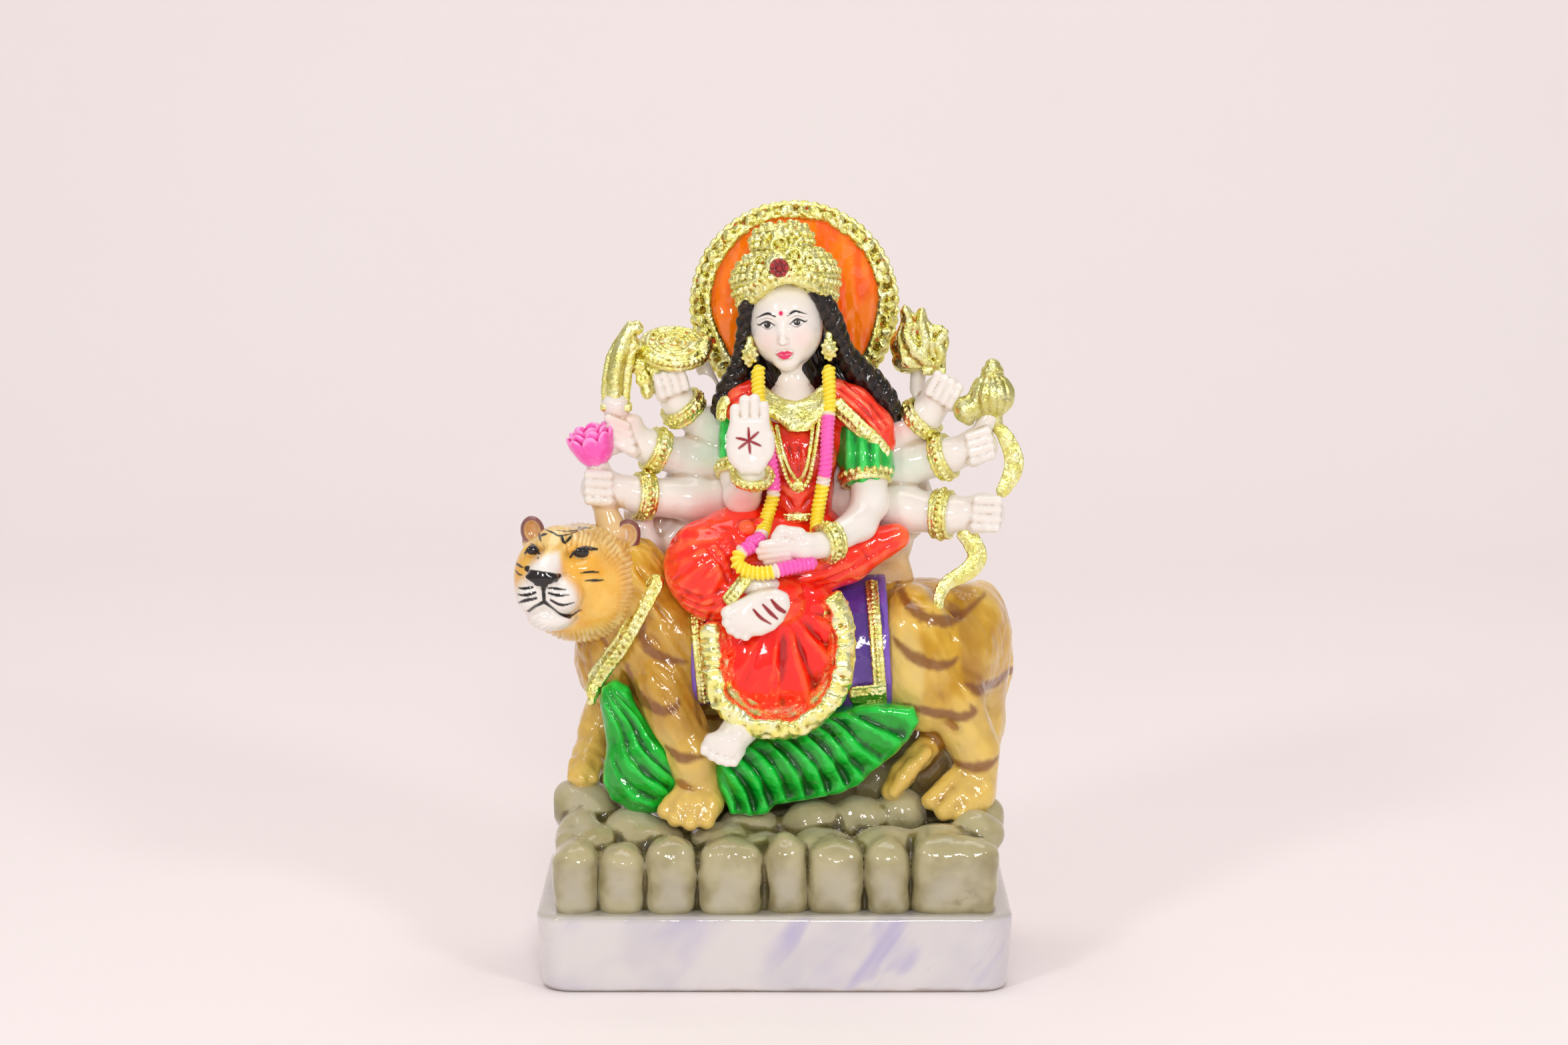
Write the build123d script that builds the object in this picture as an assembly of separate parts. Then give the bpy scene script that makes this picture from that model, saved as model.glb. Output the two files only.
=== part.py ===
"""Painted cast-stone statuette of a seated, many-armed goddess on a tiger, as separate moulded pieces.

Millimetres. +Z is up, the statuette faces -Y, and the origin is the centre of the resting face.
Each piece is closed. A piece that lies over another is hollowed by it, so neighbours meet face to face.
"""

import math
import os

from build123d import *

# Driving dimensions
SLAB_WIDTH = 90.0
SLAB_DEPTH = 58.0
SLAB_HEIGHT = 14.0
SLAB_DRAFT = 4.0
SLAB_CORNER = 6.0
BED_TOP = 27.5
STONE_DEPTH = 8.0
STONE_TOP = 29.5
HALO_CENTRE = (3.9, 9.5, 129.3)
HALO_RADIUS = 21.2
HALO_RIM = 4.2
GARLAND_RADIUS = 1.35
SMALLEST_SHARE = 0.04

parts = {}


def egg(centre, radii, turn=(0, 0, 0)):
    """Ellipsoid with the given half-sizes."""
    return Location(centre, turn) * scale(Sphere(1), by=radii)


def limb(start, end, start_radius, end_radius):
    """Tapered capsule: two spheres and the cone that is tangent to both."""
    axis = Vector(*end) - Vector(*start)
    length = axis.length
    lean = math.asin((start_radius - end_radius) / length)
    low = (lean - math.pi / 2) / 2
    high = (lean + math.pi / 2) / 2
    start_edge = (start_radius * math.cos(lean), start_radius * math.sin(lean))
    end_edge = (end_radius * math.cos(lean), length + end_radius * math.sin(lean))
    outline = [
        ThreePointArc(
            (0, -start_radius),
            (start_radius * math.cos(low), start_radius * math.sin(low)),
            start_edge,
        ),
        Line(start_edge, end_edge),
        ThreePointArc(
            end_edge,
            (end_radius * math.cos(high), length + end_radius * math.sin(high)),
            (0, length + end_radius),
        ),
        Line((0, length + end_radius), (0, -start_radius)),
    ]
    profile = Plane.XZ * make_face(Wire(outline))
    return Plane(origin=start, z_dir=axis) * revolve(profile, Axis.Z)


def chain(points, radii):
    """Capsules end to end, as one body."""
    body = limb(points[0], points[1], radii[0], radii[1])
    for i in range(1, len(points) - 1):
        body += limb(points[i], points[i + 1], radii[i], radii[i + 1])
    return body


def ring(centre, axis, radius, thickness):
    """Torus about an axis."""
    return Plane(origin=centre, z_dir=axis) * Torus(radius, thickness)


def upright(outline, front, back):
    """Solid between two Y planes from an outline of (x, z) points."""
    face = make_face(Polyline(*outline, close=True))
    return Location((0, back, 0), (90, 0, 0)) * extrude(face, back - front)


def rounded_box(centre, size, radius):
    block = Location(centre) * Box(*size)
    return fillet(block.edges(), radius)


def add(name, shape, solids=1):
    """Stores a piece, less what the earlier pieces already fill."""
    box = shape.bounding_box()
    for other in parts.values():
        near = other.bounding_box()
        apart = (
            box.min.X > near.max.X
            or box.max.X < near.min.X
            or box.min.Y > near.max.Y
            or box.max.Y < near.min.Y
            or box.min.Z > near.max.Z
            or box.max.Z < near.min.Z
        )
        if not apart:
            shape = shape - other
    found = sorted(shape.solids(), key=lambda s: s.volume, reverse=True)[:solids]
    found = [s for s in found if s.volume > SMALLEST_SHARE * found[0].volume]
    parts[name] = Compound(children=found) if len(found) > 1 else found[0]
    print(name, len(found), round(sum(s.volume for s in found)))


def base():
    footprint = RectangleRounded(SLAB_WIDTH - 2, SLAB_DEPTH - 2, SLAB_CORNER)
    slab = extrude(footprint, SLAB_HEIGHT, taper=-SLAB_DRAFT)
    add("base_slab", fillet(slab.edges().group_by(Axis.Z)[-1], 1.2))

    inner_x = SLAB_WIDTH / 2 - 3 - STONE_DEPTH
    inner_y = SLAB_DEPTH / 2 - 2.5 - STONE_DEPTH
    bed = Pos(0, 0, (SLAB_HEIGHT + BED_TOP) / 2) * Box(2 * inner_x, 2 * inner_y, BED_TOP - SLAB_HEIGHT)
    add("rock_bed", fillet(bed.edges().group_by(Axis.Z)[-1], 1.5))

    middle = (SLAB_HEIGHT + STONE_TOP) / 2
    height = STONE_TOP - SLAB_HEIGHT
    gap = 0.4
    row_y = inner_y + STONE_DEPTH / 2 + 0.1
    row_x = inner_x + STONE_DEPTH / 2 + 0.1

    def row(ends, line, along_x):
        """Stones side by side, from one end of the row to the other."""
        stones = []
        for low, high in zip(ends, ends[1:]):
            centre, width = (low + high) / 2, high - low - gap
            place = (centre, line, middle) if along_x else (line, centre, middle)
            size = (width, STONE_DEPTH, height) if along_x else (STONE_DEPTH, width, height)
            stones.append(rounded_box(place, size, 2.2))
        return stones

    front = [-42.2, -33.9, -25.0, -15.0, -1.8, 6.3, 17.3, 26.2, 42.2]
    back = [-42.2, -31.0, -21.5, -11.0, -1.0, 10.5, 20.0, 31.5, 42.2]
    sides = [-inner_y, -9.0, 0.5, 9.5, inner_y]
    add("front_stones", Compound(children=row(front, -row_y, True)), len(front) - 1)
    add("back_stones", Compound(children=row(back, row_y, True)), len(back) - 1)
    ends = row(sides, -row_x, False) + row(sides, row_x, False)
    add("side_stones", Compound(children=ends), len(ends))
    boulders = Compound(
        children=[
            limb((-36, -3, 29), (-35, 12, 29.5), 6.0, 6.5),
            limb((6, -9, 26.5), (14, -8, 26.5), 6.0, 5.5),
            limb((38, 3, 26), (38, 13, 27), 6.0, 6.0),
        ]
    )
    add("boulders", boulders, 3)


def tiger():
    near_fore = chain([(-21, -7, 60), (-18, -11.5, 44), (-17, -13.5, 32.5)], [7.4, 5.4, 4.8])
    near_fore += limb((-17, -13.5, 32.2), (-18, -19, 31.2), 4.6, 3.6)
    add("near_foreleg", near_fore)
    add("far_foreleg", chain([(-30, 7, 56), (-35, 6, 43), (-38, 1, 39.6)], [6.4, 4.8, 3.9]))
    haunch = [(33, -4, 62), (35, -6, 50), (39, -7, 40.5), (31.5, -13.5, 32.2)]
    add("near_hind_leg", chain(haunch, [10.5, 7.8, 5.0, 4.4]))
    add("far_hind_leg", chain([(38.5, 8, 60), (40.5, 7.5, 46), (40, 6, 35)], [8.4, 6.0, 4.6]))
    add("far_hind_foot", limb((30, -5, 46), (21.5, -12, 37), 3.6, 3.0))
    body = chain([(-24, 1, 62), (6, 2.5, 61.8), (31.5, 3, 61.3)], [14.0, 14.3, 15.2])
    body += limb((-24, 1, 64), (-29, -3, 75), 13.0, 10.6)
    add("tiger_body", body)
    tail = chain([(42, 14, 68), (45, 17.5, 58), (43.5, 19.5, 46), (38.5, 19.5, 39)], [2.8, 2.6, 2.4, 2.1])
    add("tiger_tail", tail)
    add("tiger_head", limb((-37.8, -9.5, 77), (-42.4, -19.6, 75.6), 11.5, 6.8))
    ears = [
        limb((-45.9, -8, 84.6), (-47.2, -8, 87.6), 2.9, 2.5),
        limb((-30, -7.5, 84.5), (-28.6, -7.5, 86.6), 3.4, 3.0),
    ]
    add("tiger_ears", Compound(children=ears), 2)
    strap = [(-22.3, -11.6, 78.0), (-28.5, -13.2, 67.5), (-34.5, -9.2, 59.5), (-35.6, -8.2, 54.5)]
    add("tiger_collar", chain(strap, [1.7, 1.8, 1.8, 1.3]))

    def wrap(low, high, bottom, radius):
        """Stretch of a sleeve round the tiger's barrel, open below."""
        sleeve = extrude(Plane.YZ.offset(low) * Pos(2.5, 61.6) * Circle(radius), high - low)
        window = Pos((low + high) / 2, 0, bottom + 20) * Box(high - low, 60, 40)
        return sleeve & window

    add("saddle_cloth", wrap(-16.5, 22.8, 54.0, 15.7))
    trim = wrap(-16.5, -13.6, 55, 16.4) + wrap(19.4, 22.0, 55, 16.4)
    add("saddle_trim", trim, 2)
    sheaf = upright(
        [(-33.5, 57), (-31, 61), (-28, 58), (-23.5, 46), (-18.9, 38), (-22, 32.5), (-33, 33.5)],
        -17,
        -8,
    )
    add("green_sheaf", fillet(sheaf.edges().filter_by(Axis.Y), 1.2))
    leaf = upright(
        [(-10.5, 45), (-10.5, 40), (-8.5, 33), (8.5, 34.5), (19.5, 38.5), (26.5, 51), (25, 55.5), (10, 53)],
        -20.5,
        -8,
    )
    add("green_leaf", fillet(leaf.edges().filter_by(Axis.Y), 1.2))


def goddess():
    right = chain([(-8.5, -1, 107), (-7.4, -9, 95), (-5.2, -14.5, 100)], [4.0, 3.7, 2.9])
    right += egg((-4.9, -16.8, 105.8), (4.3, 2.1, 5.8))
    right += egg((-5.7, -17, 110.8), (3.7, 1.8, 4.4))
    add("blessing_arm", right)
    left = chain([(16.6, -1, 107), (18.4, -8, 93), (11.2, -16.5, 86.3)], [4.2, 3.6, 2.9])
    left += egg((3.6, -19.6, 86.6), (6.0, 3.0, 3.2), (0, 8, 0))
    add("resting_arm", left)

    head = chain([(2.7, -1.4, 128), (2.8, -2.4, 124.4), (3.4, -1, 109)], [7.3, 6.4, 4.2])
    add("head_and_neck", head)
    blouse = limb((4.3, -2.6, 104.6), (4.3, -3.2, 90), 8.9, 7.7)
    blouse += limb((-5.2, -0.5, 106.8), (14.6, -0.5, 106.0), 5.2, 5.2)
    add("blouse", blouse)
    add("folded_foot", egg((-3.8, -24.6, 74.9), (7.2, 2.7, 4.5), (0, -22, 0)))
    add("lower_foot", egg((-8.2, -22.2, 48.2), (4.6, 4.2, 3.4), (0, 20, 0)))
    skirt = chain([(5, -3, 83.5), (-7, -8.5, 82.6), (-13.2, -12.5, 81.2)], [9.6, 9.2, 8.4])
    skirt += limb((4, -10.5, 80), (23.6, -7, 85.2), 7.2, 2.8)
    skirt += limb((-12.5, -14, 76.5), (1.5, -18.5, 74.5), 6.2, 5.2)
    add("skirt", skirt)
    fan = extrude(Location((0.9, -9.5, 66.2), (90, 0, 0)) * Ellipse(13.0, 15.6), 12.6)
    add("skirt_pleats", fillet(fan.edges().group_by(Axis.Y)[0], 2.0))
    border = Ellipse(16.0, 18.4) - Ellipse(13.0, 15.6)
    hem = extrude(Location((0.9, -13.5, 66.2), (90, 0, 0)) * border, 9.6)
    add("skirt_hem", hem & (Pos(1, -18, 57.5) * Box(60, 40, 33)))


def rear_arms():
    arms = {
        "rear_arm_left_upper": (
            [(-3, 3, 105), (-12, 2.5, 106), (-18.2, 0, 110.5), (-20.6, -0.6, 115.2)],
            [5.0, 4.4, 3.1, 3.7],
        ),
        "rear_arm_left_middle": (
            [(-4, 2, 100), (-15, 1, 99.8), (-23.5, -2, 102), (-28.4, -3.6, 105.8)],
            [5.0, 4.2, 3.0, 4.0],
        ),
        "rear_arm_left_lower": (
            [(-4, 1, 93), (-16, -1.5, 92.2), (-26.5, -4.5, 93.3), (-33.2, -6, 95.3)],
            [5.2, 4.4, 3.3, 4.0],
        ),
        "rear_arm_right_upper": (
            [(13, 3, 103.6), (22.8, 2.2, 104.2), (29.2, -0.2, 108.2), (32.8, -0.9, 114.2)],
            [5.0, 4.3, 3.2, 3.8],
        ),
        "rear_arm_right_middle": (
            [(13, 2, 99), (25, 1, 98.6), (33.5, -2.5, 100.6), (39.4, -4, 104)],
            [5.0, 4.2, 3.0, 4.1],
        ),
        "rear_arm_right_lower": (
            [(13, 1, 92), (25, -1.5, 90.4), (33.5, -4.5, 89.6), (41.2, -6, 90.4)],
            [5.4, 4.6, 3.4, 4.4],
        ),
    }
    for name, (joints, radii) in arms.items():
        add(name, chain(joints, radii))
    left = [(-5, 106), (-14, 103), (-20, 97), (-21, 90), (-24, 84), (-22.5, 76), (-5, 76)]
    right = [(13, 106), (21, 102), (28, 96), (29, 88), (27.5, 83), (26.5, 74), (13, 74)]
    add("arm_web", Compound(children=[upright(left, 0.5, 6.0), upright(right, 0.5, 6.0)]), 2)


def headwear():
    locks = [
        chain([(-4.2, -1, 131), (-5.4, 0, 121), (-10.6, 0.5, 109.6)], [2.2, 2.4, 1.9]),
        chain([(9.2, -1.5, 131.5), (12.2, 0, 122.5), (22.0, 0.5, 109.2)], [2.2, 2.6, 2.0]),
    ]
    add("hair_locks", Compound(children=locks), 2)
    add("back_hair", limb((2.9, 1.6, 127), (3.6, 2.6, 110), 8.2, 7.2))
    rim = 10.4
    profile = [
        (0, 129.5), (rim, 131.5), (rim, 135), (9.9, 137.5), (8.2, 140.2), (6.0, 141.4),
        (6.1, 144.5), (5.4, 146.6), (3.2, 147.6), (0, 147.6),
    ]
    bowl = revolve(Plane.XZ * make_face(Polyline(*profile, close=True)), Axis.Z)
    add("crown", Location((2.4, 0.3, 0)) * bowl)
    add("crown_gem", egg((0.9, -10.2, 138.2), (1.9, 1.4, 1.9)))
    x, y, z = HALO_CENTRE
    disc = Location((x, y + 1.4, z), (90, 0, 0)) * extrude(Circle(HALO_RADIUS - HALO_RIM), 2.8)
    band = Circle(HALO_RADIUS) - Circle(HALO_RADIUS - HALO_RIM)
    add("halo_disc", disc)
    add("halo_rim", Location((x, y + 2.2, z), (90, 0, 0)) * extrude(band, 4.4))
    drops = [
        limb((-4.7, -4.4, 122.4), (-4.9, -4.4, 119.9), 1.3, 1.8),
        limb((10.5, -4.4, 123.3), (10.7, -4.4, 120.8), 1.3, 1.8),
    ]
    add("earrings", Compound(children=drops), 2)


def held_things():
    blade = upright(
        [(-33.2, 109.5), (-32.6, 117), (-31, 122.5), (-28, 127), (-26.3, 125), (-27.4, 118), (-27.9, 109.5)],
        -4.2,
        -1.8,
    )
    add("sword", blade)
    lean = Vector(0, -0.34, 0.94)
    add("chakra", Plane(origin=(-20.6, 0, 122.0), z_dir=lean) * Cylinder(6.6, 2.6))
    add("lotus", limb((-36.4, -8, 105.2), (-34.2, -6.8, 99.4), 4.3, 1.6))
    mace = limb((42.3, -4, 113), (42.4, -4, 118.8), 4.7, 1.3)
    add("mace", mace + limb((40.5, -4, 112.6), (36.4, -4, 108.6), 2.4, 2.2))
    tines = chain([(30.4, -0.5, 118), (27.4, -0.5, 123.5), (25.4, 0, 129.4)], [2.8, 2.3, 1.2])
    tines += limb((30.4, -0.5, 118), (29.2, -0.5, 128.4), 2.8, 1.3)
    tines += chain([(30.4, -0.5, 118), (33.0, -0.5, 122), (32.6, 0, 126.2)], [2.8, 1.9, 1.1])
    add("trident", tines)
    upper = chain([(44.4, -4, 106.2), (46.1, -5, 100.6), (44.4, -5.5, 94.4)], [1.1, 1.4, 1.3])
    lower = chain(
        [(37.2, -6, 86.2), (39.4, -6.5, 81.4), (34.6, -7, 77.4), (31.8, -8.8, 71.6)],
        [1.3, 1.7, 1.5, 1.0],
    )
    add("bow", Compound(children=[upper, lower]), 2)


def dress():
    sleeves = [
        limb((-8.8, -1.5, 106), (-8.8, -4.5, 101.6), 4.9, 4.7),
        limb((16.4, -1.8, 105.4), (17.4, -4.6, 100.8), 5.2, 4.9),
    ]
    add("sleeves", Compound(children=sleeves), 2)
    armlets = [
        ring((-8.0, -5.6, 99.2), (0.1, 0.6, 1), 3.9, 1.3),
        ring((17.7, -5.6, 97.6), (-0.1, 0.45, 1), 4.0, 1.4),
    ]
    add("armlets", Compound(children=armlets), 2)
    wrists = {
        (-5.1, -14.8, 100.2): (0.1, -0.3, 1),
        (11.4, -16.3, 86.4): (-1, -0.9, -0.1),
        (-17.6, 0.2, 110.0): (-0.75, -0.3, 0.6),
        (-22.9, -1.8, 101.9): (-1, -0.35, 0.25),
        (-25.4, -4.1, 93.2): (-1, -0.3, 0.1),
        (28.4, 0.2, 107.7): (0.8, -0.3, 0.5),
        (32.9, -2.3, 100.5): (1, -0.4, 0.25),
        (32.8, -4.3, 89.6): (1, -0.35, -0.1),
    }
    bangles = [ring(centre, axis, 3.1, 1.3) for centre, axis in wrists.items()]
    add("bangles", Compound(children=bangles), len(wrists))
    cape = [
        limb((13.5, -2.5, 110.4), (19.5, -4.0, 105.6), 4.2, 4.0),
        limb((-7.0, -2.0, 110.0), (-10.0, -2.8, 107.5), 3.2, 2.8),
    ]
    add("shawl", Compound(children=cape), 2)
    add("shawl_trim", chain([(11.2, -6.9, 110.8), (15.5, -7.8, 108.0), (20.6, -7.6, 102.8)], [1.2, 1.5, 1.3]))
    add("neck_collar", egg((3.8, -5.2, 110.4), (7.6, 5.8, 4.6)))
    drape = [(-0.6, -10.6, 107.5), (2.4, -11.4, 101), (4.7, -11.5, 96.8), (7, -11.2, 101), (9.3, -10.2, 108)]
    add("necklace", chain(drape, [0.9, 1.0, 1.2, 1.0, 0.9]))
    add("belt_buckle", egg((4.4, -10.9, 90.2), (3.2, 1.5, 1.5)))
    thick = GARLAND_RADIUS
    strands = [
        chain([(10.6, -6.0, 117.2), (10.6, -9.8, 108), (9.6, -11.2, 98), (8.4, -11.8, 89.5)], [thick] * 4),
        chain([(-3.4, -6.0, 117.0), (-2.4, -10.4, 108), (-0.9, -11.4, 96), (-3.6, -16.8, 88.0)], [thick] * 4),
        chain([(-5.6, -20.4, 85.6), (-6.6, -22.2, 83), (-1.8, -23.6, 81), (7.2, -21.2, 82.2)], [thick] * 4),
    ]
    add("garland", Compound(children=strands), len(strands))
    anklets = [
        limb((-8.9, -21.6, 80.0), (-10.0, -22.2, 73.0), 1.5, 1.3),
        limb((-8.4, -19.8, 51.4), (-4.6, -19.4, 52.0), 1.7, 1.7),
    ]
    add("anklets", Compound(children=anklets), 2)


base()
tiger()
goddess()
rear_arms()
headwear()
held_things()
dress()

os.makedirs("parts", exist_ok=True)
for name, shape in parts.items():
    export_step(shape, f"parts/{name}.step")
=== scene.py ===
"""Painted cast statuette of a seated goddess on a tiger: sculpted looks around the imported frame.

Each piece is worked like clay: shapes are blended and cut away as distances, the surface is meshed, and it is
then scored, roughened and painted. Lengths are millimetres in the frame's own axes, and become metres in the
mesh. Places are laid out from the middle of the slab's underside, which at() adds to them.
"""

import itertools
import math

import bpy
import numpy as np
import openvdb
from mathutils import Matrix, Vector


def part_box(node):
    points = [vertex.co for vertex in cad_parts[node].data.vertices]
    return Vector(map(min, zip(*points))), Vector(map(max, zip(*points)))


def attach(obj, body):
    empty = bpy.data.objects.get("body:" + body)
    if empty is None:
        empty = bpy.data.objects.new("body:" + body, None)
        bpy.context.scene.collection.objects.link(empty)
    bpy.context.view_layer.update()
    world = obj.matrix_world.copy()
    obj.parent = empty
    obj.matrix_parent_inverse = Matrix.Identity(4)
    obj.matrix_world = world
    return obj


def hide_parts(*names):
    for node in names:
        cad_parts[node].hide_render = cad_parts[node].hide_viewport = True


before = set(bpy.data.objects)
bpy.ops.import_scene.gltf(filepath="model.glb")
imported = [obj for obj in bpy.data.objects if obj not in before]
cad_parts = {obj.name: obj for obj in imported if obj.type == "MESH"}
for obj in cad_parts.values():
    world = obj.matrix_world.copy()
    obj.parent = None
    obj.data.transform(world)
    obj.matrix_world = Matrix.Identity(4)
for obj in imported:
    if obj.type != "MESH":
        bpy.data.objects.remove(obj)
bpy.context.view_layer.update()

MM = 0.001  # metres in a millimetre
FAR = 50.0  # distance before any shape is added, in millimetres
BLOCK = 4  # fine cells along one side of a coarse block


# Vectors and curves


def vec(*v):
    return np.array(v, np.float32)


def unit(v):
    v = np.asarray(v, np.float32)
    return v / np.linalg.norm(v)


def axes(up, side=(1, 0, 0)):
    """Rows are the local x, y and z of a frame whose z is up and whose x leans towards side."""
    z = unit(up)
    y = unit(np.cross(z, side))
    return np.stack([np.cross(y, z), y, z])


def smoothstep(low, high, v):
    t = np.clip((v - low) / (high - low), 0, 1)
    return t * t * (3 - 2 * t)


def spline(points, steps=8):
    """Points along a smooth curve through the given ones. Extra columns, such as a radius, come along."""
    p = np.asarray(points, np.float32)
    p = np.vstack([2 * p[0] - p[1], p, 2 * p[-1] - p[-2]])
    out = []
    for a, b, c, d in zip(p, p[1:], p[2:], p[3:]):
        for t in np.arange(steps) / steps:
            square = (2 * a - 5 * b + 4 * c - d) * t**2
            cube = (3 * b - a - 3 * c + d) * t**3
            out.append(0.5 * (2 * b + (c - a) * t + square + cube))
    out.append(p[-2])
    return np.array(out, np.float32)


def evenly(points, spacing):
    """Points a fixed distance apart along a path, with the path's direction at each."""
    p = np.asarray(points, np.float32)
    along = np.concatenate([[0], np.cumsum(np.linalg.norm(np.diff(p[:, :3], axis=0), axis=1))])
    count = max(2, int(round(along[-1] / spacing)))
    stops = (np.arange(count) + 0.5) * along[-1] / count
    out = np.stack([np.interp(stops, along, p[:, i]) for i in range(p.shape[1])], 1)
    ahead = np.stack([np.interp(stops + 0.3, along, p[:, i]) for i in range(3)], 1)
    behind = np.stack([np.interp(stops - 0.3, along, p[:, i]) for i in range(3)], 1)
    return out, ahead - behind


def noise(p, size, seed=0):
    """Smooth value noise from -1 to 1, with features of the given size."""
    q = np.asarray(p, np.float64) / size + 31.7 * seed
    cell = np.floor(q).astype(np.int64)
    f = q - cell
    f = f * f * (3 - 2 * f)
    total = np.zeros(len(q))
    for corner in itertools.product((0, 1), repeat=3):
        key = cell + corner
        mixed = key[:, 0] * 73856093 ^ key[:, 1] * 19349663 ^ key[:, 2] * 83492791
        mixed = (mixed ^ (mixed >> 13)) * 1274126177 & 0xFFFFFFFF
        weight = np.prod(np.where(corner, f, 1 - f), axis=1)
        total += weight * ((mixed ^ (mixed >> 16)) & 0xFFFF) / 32767.5
    return (total - 1).astype(np.float32)


# Solid shapes, each with the distance from any point to its surface


class Shape:
    """A solid: a box that holds it, and the distance from points to its surface, negative inside."""

    def __init__(self, low, high, distance):
        self.low, self.high, self.distance = np.asarray(low), np.asarray(high), distance


def limb(a, b, ra, rb=None):
    """Tapered capsule."""
    a, b = vec(*a), vec(*b)
    rb = ra if rb is None else rb
    length = max(float(np.linalg.norm(b - a)), 1e-4)
    u = (b - a) / length
    slope = float(np.clip((ra - rb) / length, -0.98, 0.98))
    root = math.sqrt(1 - slope * slope)

    def distance(p):
        q = p - a
        t = q @ u
        rho = np.sqrt(np.maximum((q * q).sum(1) - t * t, 0))
        tau = np.clip(t - slope * rho / root, 0, length)
        return np.hypot(t - tau, rho) - (ra - slope * tau)

    return Shape(np.minimum(a - ra, b - rb), np.maximum(a + ra, b + rb), distance)


def egg(centre, radii, turn=None):
    """Ellipsoid, with its local axes as the rows of turn."""
    centre, radii = vec(*centre), vec(*radii)
    turn = np.eye(3, dtype=np.float32) if turn is None else turn

    def distance(p):
        q = (p - centre) @ turn.T
        near = np.linalg.norm(q / radii, axis=1)
        steep = np.linalg.norm(q / (radii * radii), axis=1)
        return near * (near - 1) / np.maximum(steep, 1e-4)

    half = np.sqrt(((turn * radii[:, None]) ** 2).sum(0))
    return Shape(centre - half, centre + half, distance)


def block(centre, half, rounding, turn=None):
    """Box with rounded edges."""
    centre, half = vec(*centre), vec(*half)
    turn = np.eye(3, dtype=np.float32) if turn is None else turn

    def distance(p):
        q = np.abs((p - centre) @ turn.T) - (half - rounding)
        outside = np.linalg.norm(np.maximum(q, 0), axis=1)
        return outside + np.minimum(q.max(1), 0) - rounding

    reach = np.abs(turn * half[:, None]).sum(0)
    return Shape(centre - reach, centre + reach, distance)


def ring(centre, axis, radius, thick, tall=None):
    """Torus whose section may be taller along the axis than it is thick."""
    centre, axis = vec(*centre), unit(axis)
    tall = thick if tall is None else tall

    def distance(p):
        q = p - centre
        t = q @ axis
        rho = np.sqrt(np.maximum((q * q).sum(1) - t * t, 0)) - radius
        near = np.hypot(rho / thick, t / tall)
        steep = np.hypot(rho / thick**2, t / tall**2)
        return near * (near - 1) / np.maximum(steep, 1e-4)

    return Shape(centre - radius - tall - thick, centre + radius + tall + thick, distance)


def outline_distance(x, z, line):
    """Signed distance in a plane to a closed outline, negative inside."""
    best = np.full(len(x), 1e9, np.float32)
    inside = np.zeros(len(x), bool)
    for (ax, az), (bx, bz) in zip(line, np.roll(line, -1, axis=0)):
        ex, ez = bx - ax, bz - az
        px, pz = x - ax, z - az
        t = np.clip((px * ex + pz * ez) / (ex * ex + ez * ez), 0, 1)
        best = np.minimum(best, (px - ex * t) ** 2 + (pz - ez * t) ** 2)
        crosses = (az > z) != (bz > z)
        inside ^= crosses & (x < ax + ex * (z - az) / (ez if ez else 1e-9))
    return np.where(inside, -1, 1) * np.sqrt(best)


def plate(outline, low, high, rounding, centre=(0, 0, 0)):
    """Flat plate: an outline in x and z about the centre, from low to high along y, with rounded edges."""
    centre = vec(*centre)
    line = np.asarray(outline, np.float32)
    middle, half = (low + high) / 2, (high - low) / 2

    def distance(p):
        q = p - centre
        flat = outline_distance(q[:, 0], q[:, 2], line) + rounding
        deep = np.abs(q[:, 1] - middle) - half + rounding
        both = np.hypot(np.maximum(flat, 0), np.maximum(deep, 0))
        return both + np.minimum(np.maximum(flat, deep), 0) - rounding

    corners = [(x, y, z) for x, z in line for y in (low, high)]
    world = np.array(corners, np.float32) + centre
    return Shape(world.min(0), world.max(0), distance)


def lathe(profile, centre, turn, rounding=0.3):
    """Solid of revolution about the local z axis, from an outline of (radius, height) points."""
    line = np.asarray(profile, np.float32)
    centre = vec(*centre)

    def distance(p):
        q = (p - centre) @ turn.T
        return outline_distance(np.hypot(q[:, 0], q[:, 1]), q[:, 2], line) - rounding

    reach = float(np.abs(line).max()) + rounding
    return Shape(centre - reach, centre + reach, distance)


# Clay: shapes pressed together and cut away, then meshed


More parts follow.
